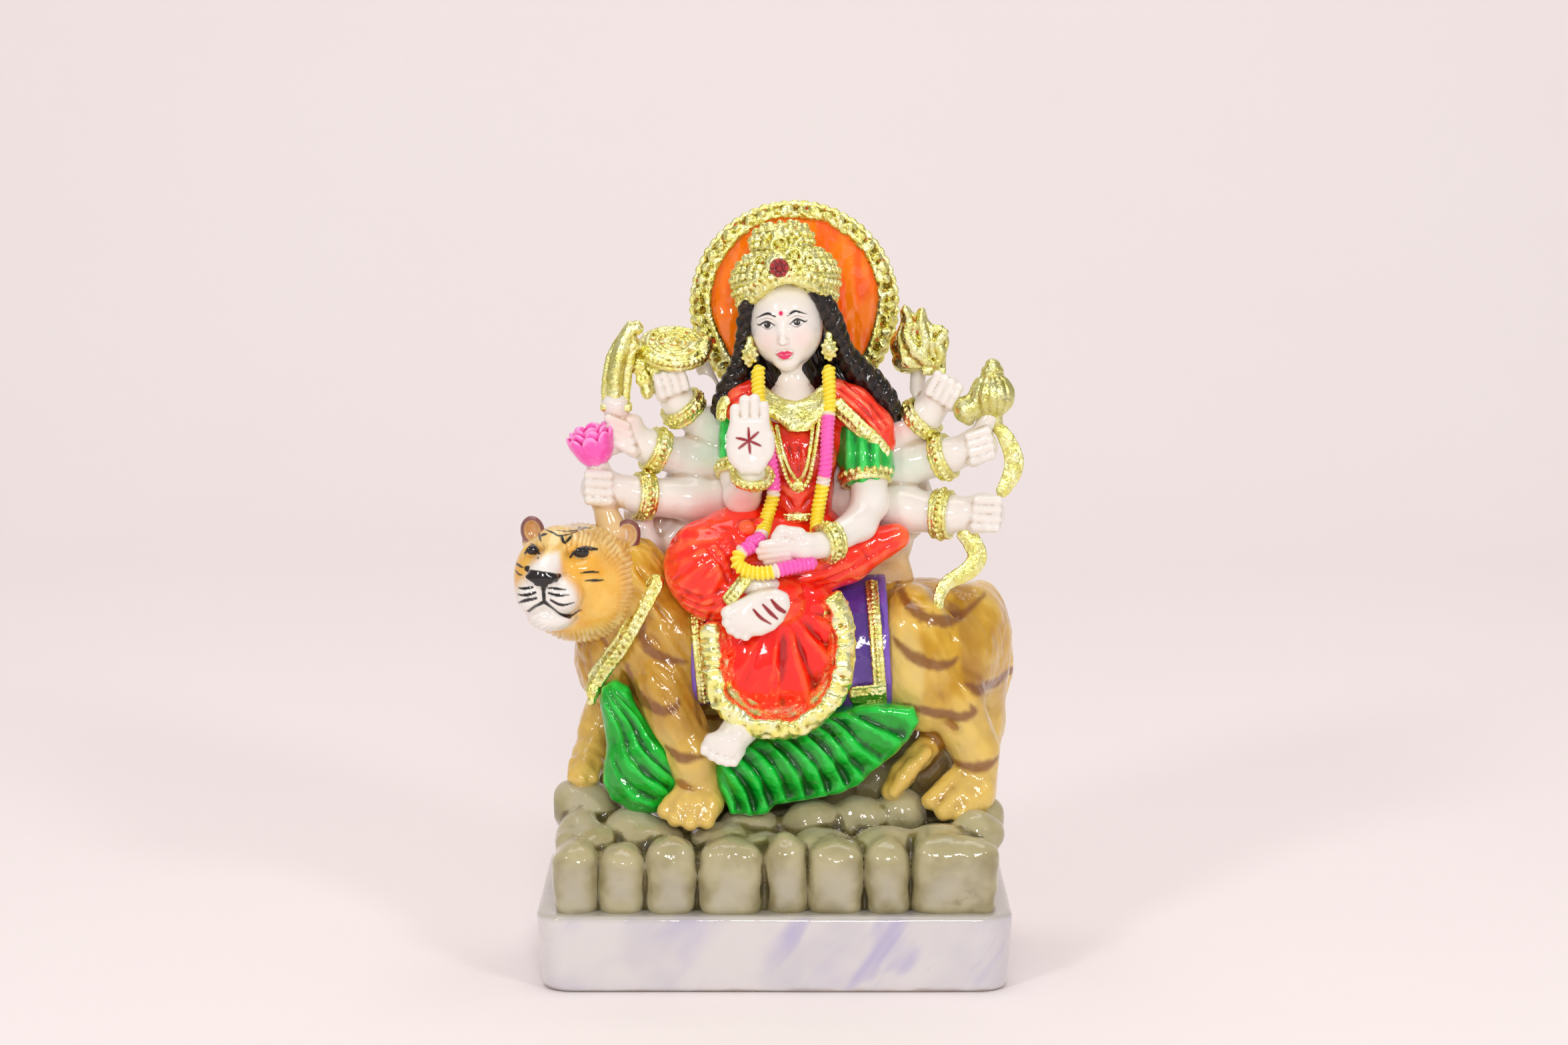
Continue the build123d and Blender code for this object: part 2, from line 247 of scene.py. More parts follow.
class Clay:
    """Signed distances at a cloud of points, changed only near each shape that is added."""

    def __init__(self, points, reach):
        self.p, self.reach = points, reach
        self.columns = [np.ascontiguousarray(c) for c in points.T]
        self.d = np.full(len(points), FAR, np.float32)

    def near(self, shape, margin):
        keep = np.ones(len(self.p), bool)
        for column, low, high in zip(self.columns, shape.low - margin, shape.high + margin):
            keep &= (column > low) & (column < high)
        return np.flatnonzero(keep)

    def add(self, shape, blend=0.0):
        k = self.near(shape, self.reach + blend)
        if len(k):
            old, new = self.d[k], shape.distance(self.p[k])
            self.d[k] = np.minimum(old, new)
            if blend:
                self.d[k] -= np.maximum(blend - np.abs(old - new), 0) ** 2 / (4 * blend)

    def cut(self, shape, blend=0.0):
        k = self.near(shape, self.reach + blend)
        if len(k):
            old, new = self.d[k], -shape.distance(self.p[k])
            self.d[k] = np.maximum(old, new)
            if blend:
                self.d[k] += np.maximum(blend - np.abs(old - new), 0) ** 2 / (4 * blend)

    def chain(self, points, radii, blend=0.0, joint=0.0):
        """Limbs end to end: blended to what is there by blend, and to each other by joint."""
        for i in range(len(points) - 1):
            part = limb(points[i], points[i + 1], radii[i], radii[i + 1])
            self.add(part, blend if i == 0 else max(joint, blend))

    def tube(self, points, blend=0.0):
        """Tube along a smooth curve of (x, y, z, radius) points."""
        p = spline(points)
        for a, b in zip(p, p[1:]):
            self.add(limb(a[:3], b[:3], a[3], b[3]), blend)

    def crease(self, points, width, depth):
        """Soft groove along a curve, or a ridge where depth is negative."""
        p = spline(points, 6)
        low, high = p[:, :3].min(0), p[:, :3].max(0)
        k = self.near(Shape(low, high, None), 2.5 * width)
        if len(k):
            away = distance_to_path(self.p[k], p[:, :3])
            self.d[k] += depth * np.exp(-((away / width) ** 2))


def distance_to_path(points, path):
    best = np.full(len(points), 1e9, np.float32)
    for a, b in zip(path, path[1:]):
        e = b - a
        q = points - a
        t = np.clip(q @ e / max(float(e @ e), 1e-9), 0, 1)
        best = np.minimum(best, ((q - t[:, None] * e) ** 2).sum(1))
    return np.sqrt(best)


def grid_points(low, shape, step):
    lines = [low[i] + step * np.arange(shape[i], dtype=np.float32) for i in range(3)]
    return np.stack(np.meshgrid(*lines, indexing="ij"), -1).reshape(-1, 3)


def mesh_from_clay(build, low, high, voxel):
    """Vertices and quads of the surface. A coarse pass finds its blocks and a fine one fills them."""
    coarse = voxel * BLOCK
    low = np.asarray(low, np.float32)
    blocks = np.ceil((np.asarray(high) - low) / coarse).astype(int)
    middles = grid_points(low + coarse / 2 - voxel / 2, blocks, coarse)
    reach = 1.6 * coarse
    rough = Clay(middles, reach + coarse)
    build(rough)
    active = np.flatnonzero(np.abs(rough.d) < reach)
    corner = middles[active] - (coarse - voxel) / 2
    inner = grid_points((0, 0, 0), (BLOCK,) * 3, voxel)
    fine = Clay((corner[:, None, :] + inner[None]).reshape(-1, 3), 3 * voxel)
    build(fine)
    band = 3 * voxel
    field = np.where(rough.d < 0, -band, band).astype(np.float32)
    cells = np.repeat(field[:, None], BLOCK**3, axis=1)
    cells[active] = np.clip(fine.d, -band, band).reshape(-1, BLOCK**3)
    cells = cells.reshape(*blocks, BLOCK, BLOCK, BLOCK).transpose(0, 3, 1, 4, 2, 5)
    cells = np.ascontiguousarray(cells.reshape(blocks * BLOCK))
    grid = openvdb.FloatGrid(band)
    grid.copyFromArray(cells)
    points, _, quads = grid.convertToPolygons(0.0, 0.0)
    return points * voxel + low, quads


class Skin:
    """A meshed surface: vertices in millimetres, quads, and paint as one number per vertex."""

    def __init__(self, points, quads):
        self.p, self.quads, self.paint = points.astype(np.float32), quads, {}
        pairs = np.vstack([quads[:, [i, (i + 1) % 4]] for i in range(4)])
        self.a, self.b = pairs[:, 0], pairs[:, 1]
        self.count = np.bincount(self.a, minlength=len(points)).astype(np.float32)

    def normals(self):
        q = self.p[self.quads]
        n = np.cross(q[:, 2] - q[:, 0], q[:, 3] - q[:, 1])
        corners = self.quads.ravel()
        total = np.stack([np.bincount(corners, np.repeat(n[:, i], 4), len(self.p)) for i in range(3)], 1)
        return (total / np.maximum(np.linalg.norm(total, axis=1), 1e-9)[:, None]).astype(np.float32)

    def blur(self, values, rounds):
        """Columns of values, averaged with each vertex's neighbours this many times."""
        for _ in range(rounds):
            spread = [np.bincount(self.a, values[self.b, i], len(self.p)) for i in range(values.shape[1])]
            back = [np.bincount(self.b, values[self.a, i], len(self.p)) for i in range(values.shape[1])]
            total = np.bincount(self.b, minlength=len(self.p)) + self.count
            values = ((np.stack(spread, 1) + np.stack(back, 1)) / total[:, None]).astype(np.float32)
        return values

    def push(self, offset):
        """Moves the surface out along its normals."""
        self.p = self.p + self.normals() * np.asarray(offset, np.float32)[:, None]

    def crevices(self, rounds=12, depth=0.12):
        """0.5 on the flat, towards 1 in hollows and 0 on crests."""
        n = self.normals()
        hollow = ((self.blur(self.p, rounds) - self.p) * n).sum(1)
        hollow = self.blur(hollow[:, None], 2)[:, 0]
        self.paint["crevice"] = np.clip(0.5 + 0.5 * hollow / depth, 0, 1)


def span(*nodes, margin=1.5):
    """Lowest and highest corners of some CAD nodes' common box, in millimetres."""
    boxes = [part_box(n) for n in nodes]
    low = np.min([list(b[0]) for b in boxes], axis=0) / MM
    high = np.max([list(b[1]) for b in boxes], axis=0) / MM
    return low - margin, high + margin


slab_low, slab_high = span("base_slab", margin=0)
slab_middle = (slab_low + slab_high) / 2
origin = np.round([slab_middle[0], slab_middle[1], slab_low[2]], 1).astype(np.float32)


def at(x, y, z):
    """A point measured in millimetres from the middle of the slab's underside. The goddess faces -y."""
    return vec(x, y, z) + origin


def seen(*pairs):
    """Points for lines drawn on from the front, which need only their x and z."""
    return [at(x, 0, z) for x, z in pairs]


def sculpt(name, nodes, voxel, build, material, finish=None, crevice=(12, 0.12), margin=1.5, box=None):
    """Builds, meshes and finishes one piece, which stands for the CAD nodes.

    build adds shapes to a Clay, finish works on the Skin, and crevice is the size and depth of its hollows.
    """
    low, high = box or span(*nodes, margin=margin)
    skin = Skin(*mesh_from_clay(build, low, high, voxel))
    if finish:
        finish(skin)
    skin.crevices(*crevice)
    mesh = bpy.data.meshes.new(name)
    mesh.vertices.add(len(skin.p))
    mesh.vertices.foreach_set("co", (skin.p * MM).ravel())
    mesh.loops.add(skin.quads.size)
    mesh.loops.foreach_set("vertex_index", skin.quads.astype(np.int32).ravel())
    mesh.polygons.add(len(skin.quads))
    mesh.polygons.foreach_set("loop_start", np.arange(0, skin.quads.size, 4, dtype=np.int32))
    mesh.update(calc_edges=True)
    mesh.shade_smooth()
    for key, values in skin.paint.items():
        layer = mesh.attributes.new(key, "FLOAT", "POINT")
        layer.data.foreach_set("value", np.asarray(values, np.float32))
    mesh.materials.append(material)
    piece = bpy.data.objects.new(name, mesh)
    bpy.context.scene.collection.objects.link(piece)
    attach(piece, "root")
    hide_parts(*nodes)
    print(name, len(skin.quads) * 2, "triangles")


# Materials


def srgb(*levels):
    """Linear colour from 0 to 255 screen levels."""
    c = np.array(levels) / 255
    return (*np.where(c < 0.04045, c / 12.92, ((c + 0.055) / 1.055) ** 2.4), 1.0)


class Finish:
    """A procedural material on one Principled shader. Sizes are millimetres in the object's own space."""

    def __init__(self, name, roughness=0.35, coat=0.0, metallic=0.0, coat_roughness=0.06, milk=0.0):
        self.material = bpy.data.materials.new(name)
        self.material.use_nodes = True
        self.tree = self.material.node_tree
        self.shader = self.tree.nodes["Principled BSDF"]
        self.set("Roughness", roughness)
        self.set("Metallic", metallic)
        self.set("Coat Weight", coat)
        self.set("Coat IOR", 1.52)
        self.set("Specular IOR Level", 0.12 if coat else 0.5)
        self.set("Coat Roughness", coat_roughness)
        if milk:
            self.set("Subsurface Weight", milk)
            self.shader.inputs["Subsurface Radius"].default_value = (1.0, 0.8, 0.7)
            self.set("Subsurface Scale", 0.8 * MM)
        place = self.node("TexCoord").outputs["Object"]
        self.place = self.node("VectorMath", {0: place, "Scale": 1 / MM}, operation="SCALE").outputs[0]

    def node(self, kind, inputs=None, **settings):
        """New shader node, its inputs linked to sockets or given values."""
        node = self.tree.nodes.new("ShaderNode" + kind)
        for key, value in settings.items():
            setattr(node, key, value)
        for key, value in (inputs or {}).items():
            if isinstance(value, bpy.types.NodeSocket):
                self.tree.links.new(value, node.inputs[key])
            else:
                node.inputs[key].default_value = value
        return node

    def set(self, name, value):
        if isinstance(value, bpy.types.NodeSocket):
            self.tree.links.new(value, self.shader.inputs[name])
        else:
            self.shader.inputs[name].default_value = value

    def noise(self, size, detail=3.0, distortion=0.0, stretch=(1, 1, 1), turn=(0, 0, 0)):
        """Noise from 0 to 1, its features about this size and stretched along axes that are turned first."""
        moves = {"Vector": self.place, "Rotation": turn, "Scale": stretch}
        moved = self.node("Mapping", moves, vector_type="TEXTURE").outputs[0]
        values = {"Vector": moved, "Scale": 1 / size, "Detail": detail, "Distortion": distortion}
        return self.node("TexNoise", values).outputs["Fac"]

    def attribute(self, name):
        return self.node("Attribute", attribute_name=name).outputs["Fac"]

    def remap(self, value, low, high, to_low=0.0, to_high=1.0):
        """Smooth step from to_low, where the value is low, to to_high, where it is high."""
        values = {"Value": value, "From Min": low, "From Max": high, "To Min": to_low, "To Max": to_high}
        return self.node("MapRange", values, interpolation_type="SMOOTHSTEP").outputs["Result"]

    def math(self, operation, a, b=0.0):
        return self.node("Math", {0: a, 1: b}, operation=operation).outputs[0]

    def mix(self, share, a, b):
        """Colour a where share is 0, b where it is 1."""
        node = self.node("Mix", data_type="RGBA")
        for socket, value in ((0, share), (6, a), (7, b)):
            if isinstance(value, bpy.types.NodeSocket):
                self.tree.links.new(value, node.inputs[socket])
            else:
                node.inputs[socket].default_value = value
        return node.outputs[2]

    def bump(self, height, depth):
        """Relief of the given depth in millimetres, on the paint and on the lacquer over it."""
        values = {"Height": height, "Strength": 1.0, "Distance": depth * MM}
        normal = self.node("Bump", values).outputs[0]
        self.set("Normal", normal)
        self.set("Coat Normal", normal)


def lacquered(name, base, dark, light, crevice=(0.55, 0.95), wave=0.10, coat=1.0):
    """Glossy paint under wavy lacquer: painted shade darkens the hollows and a painted highlight lightens the
    crests.
    """
    m = Finish(name, roughness=0.32, coat=coat, coat_roughness=0.04)
    hollow = m.attribute("crevice")
    patchy = m.noise(4.0, 4.0)
    # Painted shade in the hollows and a painted highlight on the crests, set by how hollow each place is.
    painted_shading = m.math("ADD", hollow, m.remap(patchy, 0.3, 0.7, -0.12, 0.12))
    colour = m.mix(m.remap(painted_shading, crevice[0], crevice[1]), base, dark)
    colour = m.mix(m.remap(painted_shading, 0.42, 0.12), colour, light)
    m.set("Base Color", colour)
    height = m.math("ADD", m.noise(2.4, 2.0), m.math("MULTIPLY", m.noise(0.7, 2.0), 0.3))
    m.bump(height, wave)
    return m.material


def white_resin(name, mark=False, honey=False):
    """Pearly white, warmer and darker in hollows as painted shade. Pink and green tints are painted
    reflections of the red and green paint nearby, honey gives it a honey tone where it is set, and mark is
    dark red paint.
    """
    m = Finish(name, roughness=0.3, coat=1.0, coat_roughness=0.05, milk=0.25)
    tint = m.mix(m.remap(m.noise(9.0, 2.0), 0.45, 0.7), srgb(240, 234, 226), srgb(236, 226, 219))
    # Painted shade: warmer and darker in the hollows.
    warm = m.mix(m.remap(m.attribute("crevice"), 0.56, 1.0), tint, srgb(205, 182, 158))
    # Pink and green tints: painted reflections of the red and green paint nearby.
    blush_and_reflection = m.mix(m.math("MULTIPLY", m.attribute("blush_and_reflection"), 0.6), warm, srgb(245, 160, 150))
    tone = m.mix(m.math("MULTIPLY", m.attribute("green_reflection"), 0.5), blush_and_reflection, srgb(190, 226, 194))
    if mark:
        tone = m.mix(m.attribute("mark"), tone, srgb(150, 18, 34))
    if honey:
        tone = m.mix(m.math("MULTIPLY", m.attribute("honey"), 0.85), tone, srgb(228, 190, 120))
    m.set("Base Color", tone)
    m.bump(m.math("ADD", m.noise(1.8, 2.0), m.math("MULTIPLY", m.noise(0.5, 2.0), 0.25)), 0.06)
    return m.material


def gold_foil(name, crumple, warm=0.2, bright=1.0):
    """Lemon-gold foil pressed over the relief: crinkled, darker olive in hollows as painted shade, red paint
    in the deepest.
    """
    m = Finish(name, roughness=0.24, metallic=1.0)
    hollow = m.attribute("crevice")
    fine = m.noise(0.55, 4.0, distortion=0.6)
    pale = srgb(252 * bright, 252 * bright, 190 * bright)
    base = m.mix(m.remap(m.noise(2.2, 3.0), 0.35, 0.7), srgb(236 * bright, 230 * bright, 132 * bright), pale)
    # Painted shade: darker olive gold in the hollows.
    shaded_gold = m.mix(m.remap(hollow, 0.54, 0.92), base, srgb(164, 140, 54))
    deep = m.remap(hollow, 0.6, 0.95)
    patches = m.remap(m.noise(1.3, 2.0), 0.62 - 0.2 * warm, 0.72 - 0.2 * warm)
    spots = m.math("MULTIPLY", deep, patches)
    m.set("Base Color", m.mix(spots, shaded_gold, srgb(208, 66, 20)))
    m.set("Metallic", m.remap(spots, 0.0, 1.0, 1.0, 0.1))
    m.set("Roughness", m.remap(fine, 0.3, 0.75, 0.16, 0.42))
    m.bump(m.math("ADD", fine, m.math("MULTIPLY", m.noise(1.6, 2.0), 1.2)), crumple)
    return m.material


def gold_piece(name, node, voxel, build, finish, crevice, paint, crumple, margin=1.5, box=None, **look):
    """Sculpts one piece that is covered in gold foil. paint is the name of its foil."""
    foil = gold_foil(paint, crumple, **look)
    sculpt(name, [node], voxel, build, foil, finish, crevice, margin, box)


def stage_cloth():
    m = Finish("backdrop", roughness=0.9)
    m.set("Base Color", m.mix(m.noise(120.0, 2.0), srgb(250, 241, 240), srgb(252, 245, 243)))
    m.bump(m.noise(30.0, 2.0), 0.3)
    return m.material


# Painting


def blob(skin, centre, radii, soft=0.3):
    """1 inside an ellipse seen from the front, 0 outside, given by the x and z of its centre."""
    near = np.hypot((skin.p[:, 0] - centre[0]) / radii[0], (skin.p[:, 2] - centre[2]) / radii[1])
    edge = soft / min(radii)
    return smoothstep(1 + edge, 1 - edge, near)


def brush(skin, lines, soft=0.07, facing=-0.05):
    """Paint strokes laid on from the front: each is a list of points and a width for each of them."""
    ink = np.zeros(len(skin.p), np.float32)
    toward = skin.normals()[:, 1] < facing
    flat = skin.p[:, [0, 2]]
    for points, widths in lines:
        path = spline(np.column_stack([np.array(points)[:, [0, 2]], widths]), 6)
        widest = float(np.max(widths)) + 2 * soft
        low, high = path[:, :2].min(0) - widest, path[:, :2].max(0) + widest
        k = np.flatnonzero(toward & ((flat > low) & (flat < high)).all(1))
        best = np.full(len(k), 9.0, np.float32)
        for a, b in zip(path, path[1:]):
            e, q = b[:2] - a[:2], flat[k] - a[:2]
            t = np.clip(q @ e / max(float(e @ e), 1e-9), 0, 1)
            away = np.linalg.norm(q - t[:, None] * e, axis=1) - (a[2] + (b[2] - a[2]) * t)
            best = np.minimum(best, away)
        ink[k] = np.maximum(ink[k], smoothstep(soft, -soft, best))
    return ink


def score(skin, lines, width, depth):
    """Presses soft grooves into the front: each line is a list of points. Each groove fades at its ends."""
    amount = np.zeros(len(skin.p), np.float32)
    toward = skin.normals()[:, 1] < 0
    flat = skin.p[:, [0, 2]]
    for points in lines:
        path = spline(np.array(points)[:, [0, 2]], 6)
        low, high = path.min(0) - 3 * width, path.max(0) + 3 * width
        k = np.flatnonzero(toward & ((flat > low) & (flat < high)).all(1))
        best = np.full(len(k), 9.0, np.float32)
        for i, (a, b) in enumerate(zip(path, path[1:])):
            e, q = b - a, flat[k] - a
            t = np.clip(q @ e / max(float(e @ e), 1e-9), 0, 1)
            share = (i + t) / (len(path) - 1)
            thin = 1.0 / (0.35 + 0.65 * np.sin(np.pi * np.clip(share, 0.06, 0.94)))
            best = np.minimum(best, np.linalg.norm(q - t[:, None] * e, axis=1) * thin)
        amount[k] += np.exp(-((best / width) ** 2))
    skin.push(-depth * np.minimum(amount, 1.3))


# Relief used on several pieces


def crumpled(depth, size, seed=5):
    """Finish that wrinkles a surface like pressed foil or hand-laid paint."""

    def finish(skin):
        skin.push(depth * (noise(skin.p, size, seed) + 0.6 * noise(skin.p, size * 0.45, seed + 1)))

    return finish


def beaded_band(c, points, outward, half, thick=0.9, rim=0.42, bead=0.55, spacing=1.25):
    """Band along a curve: a rim on each edge and beads between them. outward gives its face at a point."""
    line, ahead = evenly(spline(points, 8), spacing)
    edges = {-1: [], 1: []}
    for p, direction in zip(line[:, :3], ahead):
        face = unit(outward(p))
        side = unit(np.cross(direction, face))
        c.add(egg(p, (half, thick, spacing), np.stack([side, face, unit(direction)])), 0.25)
        c.add(egg(p + face * thick * 0.8, (bead,) * 3), 0.12)
        for s in edges:
            edges[s].append(p + side * s * (half - rim * 0.6) + face * thick * 0.35)
    for edge in edges.values():
        c.chain(edge, [rim] * len(edge), 0.15)


def bangle(c, centre, axis, radius, width, bead=0.5):
    """Band round a wrist or arm: a rim on each side and beads between."""
    centre, axis = vec(*centre), unit(axis)
    c.add(ring(centre, axis, radius, 0.75, width / 2))
    for s in (-1, 1):
        c.add(ring(centre + axis * s * (width / 2 - 0.3), axis, radius + 0.35, 0.45), 0.15)
    x, y, _ = axes(axis)
    count = int(2 * math.pi * radius / (2.1 * bead))
    for angle in 2 * math.pi * np.arange(count) / count:
        out = x * math.cos(angle) + y * math.sin(angle)
        c.add(egg(centre + out * (radius + 0.75), (bead,) * 3), 0.15)


# Base


def milky_marble_look():
    """White resin with violet veins, brown at the foot and olive along the top edge."""
    m = Finish("milky_marble", roughness=0.28, coat=1.0, coat_roughness=0.05, milk=0.3)
    white = m.mix(m.remap(m.noise(16.0, 2.0), 0.4, 0.65), srgb(220, 215, 214), srgb(208, 203, 208))
    lean = (0.0, math.radians(42), math.radians(12))
    broad = m.noise(11.0, 2.0, distortion=0.8, stretch=(0.8, 1.0, 2.8), turn=lean)
    fine = m.noise(5.0, 2.0, distortion=1.1, stretch=(0.6, 1.0, 3.2), turn=lean)
    vein = m.math("MAXIMUM", m.remap(broad, 0.50, 0.72, 0.0, 0.75), m.remap(fine, 0.56, 0.78, 0.0, 0.3))
    patch = m.remap(m.noise(24.0, 1.0), 0.40, 0.60)
    veined = m.mix(m.math("MULTIPLY", vein, patch), white, srgb(176, 170, 206))
    # Olive along the top edge.
    olive_top_edge = m.mix(m.math("MULTIPLY", m.attribute("top"), 0.55), veined, srgb(170, 164, 138))
    m.set("Base Color", m.mix(m.math("MULTIPLY", m.attribute("foot"), 0.6), olive_top_edge, srgb(120, 92, 58)))
    m.bump(m.noise(5.0, 2.0), 0.12)
    return m.material


def slab():
    low, high = slab_low - vec(1.1, 0.3, 0), slab_high + vec(1.1, 0.3, 1.2)
    middle, half, corner, edge, draft = (low + high) / 2, (high - low) / 2, 6.0, 1.0, 0.07

    def distance(p):
        inset = draft * (high[2] - p[:, 2:])
        q = np.abs(p[:, :2] - middle[:2]) - (half[:2] - inset) + corner
        flat = np.linalg.norm(np.maximum(q, 0), axis=1) + np.minimum(q.max(1), 0) - corner + edge
        deep = np.abs(p[:, 2] - middle[2]) - half[2] + edge
        outside = np.hypot(np.maximum(flat, 0), np.maximum(deep, 0))
        return outside + np.minimum(np.maximum(flat, deep), 0) - edge + 0.12 * noise(p, 14.0, 2)

    def finish(skin):
        z = skin.p[:, 2]
        skin.paint["foot"] = smoothstep(0.75, 0.25, z + 0.25 * noise(skin.p, 3.0, 8))
        skin.paint["top"] = smoothstep(high[2] - 1.2, high[2] - 0.2, z)

    shape = Shape(low, high, distance)
    sculpt("marble_slab", ["base_slab"], 0.6, lambda c: c.add(shape), milky_marble_look(), finish)


def glazed_stone_look():
    """Olive glaze, pale where it is worn, lighter on faces that look up as painted light, and dark in the
    gaps between stones, with glaze gathered there and painted shade.
    """
    m = Finish("glazed_stone", roughness=0.3, coat=1.0, coat_roughness=0.04, milk=0.1)
    glaze = m.mix(m.remap(m.noise(6.0, 2.0), 0.3, 0.7), srgb(142, 132, 92), srgb(180, 171, 132))
    tone = m.mix(m.math("MULTIPLY", m.attribute("worn"), 0.85), glaze, srgb(184, 177, 158))
    # Painted light: faces that look up are lighter.
    tone = m.mix(m.math("MULTIPLY", m.attribute("up"), 0.4), tone, srgb(204, 194, 148))
    # Glaze gathered in the gaps between stones, darkened further as painted shade.
    glaze_and_shade_in_gaps = m.math("ADD", m.attribute("crevice"), m.remap(m.noise(3.2, 3.0), 0.3, 0.7, -0.12, 0.14))
    tone = m.mix(m.remap(glaze_and_shade_in_gaps, 0.54, 0.80), tone, srgb(124, 112, 68))
    tone = m.mix(m.remap(glaze_and_shade_in_gaps, 0.76, 1.04), tone, srgb(84, 75, 44))
    m.set("Base Color", m.mix(m.math("MULTIPLY", m.attribute("low"), 0.5), tone, srgb(110, 100, 66)))
    m.bump(m.math("ADD", m.noise(3.0, 2.0), m.math("MULTIPLY", m.noise(0.9, 2.0), 0.3)), 0.16)
    return m.material


def rocks():
    nodes = ["rock_bed", "front_stones", "back_stones", "side_stones", "boulders"]
    low, high = span(*nodes[:4], margin=0)
    floor, top = low[2], high[2] + 1.0
    random = np.random.default_rng(7)
    left, right = low[0] - 0.9, high[0] + 1.2
    front = np.array([left, -33.9, -25.0, -15.0, -1.8, 6.3, 17.3, 26.2, right])
    back = np.array([left, -31.0, -21.5, -11.0, -1.0, 10.5, 20.0, 31.5, right])
    ends = np.array([low[1] + 6, -9.0, 0.5, 9.5, high[1] - 6])
    stones = []

    def row(edges, across, along_x):
        """Stones side by side, each a soft-cornered block with a bulge of its own."""
        for a, b in zip(edges, edges[1:]):
            tall = top - floor - random.uniform(0.2, 3.4)
            width = b - a - random.uniform(0.6, 1.1)
            deep = 9.0 + random.uniform(-0.6, 0.6)
            inward = across - math.copysign(deep / 2, across)
            centre = ((a + b) / 2, inward) if along_x else (inward, (a + b) / 2)
            half = (width / 2, deep / 2) if along_x else (deep / 2, width / 2)
            tilt = random.uniform(-0.07, 0.07, 2)
            turn = axes((tilt[0], tilt[1], 1))
            stones.append((vec(*centre, floor + tall / 2 - 0.3), vec(*half, tall / 2), turn))

    row(front, low[1] - 0.3, True)
    row(back, high[1] - 0.1, True)
    row(ends, left + 0.4, False)
    row(ends, right - 0.4, False)
    bumps = []
    for x, y in itertools.product(np.arange(-34, 38, 11.0), np.arange(-16.0, 18, 8.0)):
        place = at(x, y, 26.2) + vec(*random.uniform(-2.6, 2.6, 2), random.uniform(-0.8, 1.4))
        bumps.append((place, (random.uniform(5.2, 7.4), random.uniform(4.4, 6.0), random.uniform(3.0, 4.2))))
    for x, y, z, *size in (
        (-36.5, -4, 30.0, 6.6, 7.6, 6.2), (-35.5, 6, 31.0, 7.0, 7.0, 6.4), (-27.5, -12, 28.0, 6.5, 5.0, 4.6),
        (-38.2, -12, 27.4, 4.6, 5.0, 5.0), (38, 4, 27.0, 5.2, 6.2, 6.0), (37.5, 13, 27.0, 5.6, 6.2, 6.0),
        (7, -10.8, 29.0, 6.2, 4.6, 5.2), (16.8, -9.6, 29.4, 6.0, 4.8, 5.4),
        (-4.6, -10.8, 28.4, 6.2, 4.8, 4.9),
        (24.8, -7.6, 30.6, 5.2, 4.8, 5.4), (38.5, -9, 27.0, 4.4, 5.4, 4.4), (0, 2, 27.0, 9.0, 6.0, 4.6),
        (39.6, -14.6, 28.6, 5.2, 4.0, 4.0), (42.0, -7.0, 30.2, 3.2, 5.0, 4.0),
        (-40.0, -4.0, 31.6, 4.2, 5.0, 5.0),
    ):
        bumps.append((at(x, y, z), size))

    def build(c):
        c.add(block((0, 0, (floor + 26) / 2 - 0.5), (high[0] - 3, high[1] - 3, (26 - floor) / 2 + 0.5), 2.0))
        for centre, half, turn in stones:
            c.add(block(centre, half, 3.0, turn), 0.6)
            c.add(egg(centre + vec(0, 0, 0.9), half * vec(1.0, 1.08, 1.0), turn), 1.4)
        for centre, size in bumps:
            c.add(egg(centre, size), 1.3)

    def finish(skin):
        lump = noise(skin.p, 6.0, 11) + 0.5 * noise(skin.p, 2.6, 12)
        skin.push(0.42 * lump)
        edge = 0.34 * noise(skin.p, 5.0, 14) + 0.12 * noise(skin.p, 2.0, 15)
        sunk = smoothstep(top + 1.0, floor + 4.0, skin.p[:, 2])
        worn = np.zeros(len(skin.p), np.float32)
        for centre, half, turn in stones:
            q = np.sort(np.abs((skin.p - centre) @ turn.T) / half, axis=1)
            worn = np.maximum(worn, smoothstep(0.9, 0.15, q[:, 1] + edge) * sunk * (q[:, 2] < 1.3))
        for centre, size in bumps:
            q = (skin.p - centre) / np.asarray(size)
            worn = np.maximum(
                worn, smoothstep(0.8, 0.2, np.hypot(q[:, 0], q[:, 1]) + edge) * (q[:, 2] > 0.4)
            )
        skin.paint["worn"] = worn
        # Painted light: marks the faces that look up, to be lightened.
        level = smoothstep(-0.25, 0.55, skin.normals()[:, 2])
        skin.paint["up"] = level * smoothstep(floor + 5, floor + 10, skin.p[:, 2])
        skin.paint["low"] = smoothstep(floor + 1.6, floor + 0.1, skin.p[:, 2] + 0.5 * noise(skin.p, 2.0, 13))

    sculpt("stones", nodes, 0.45, build, glazed_stone_look(), finish, crevice=(22, 0.36))


# Tiger


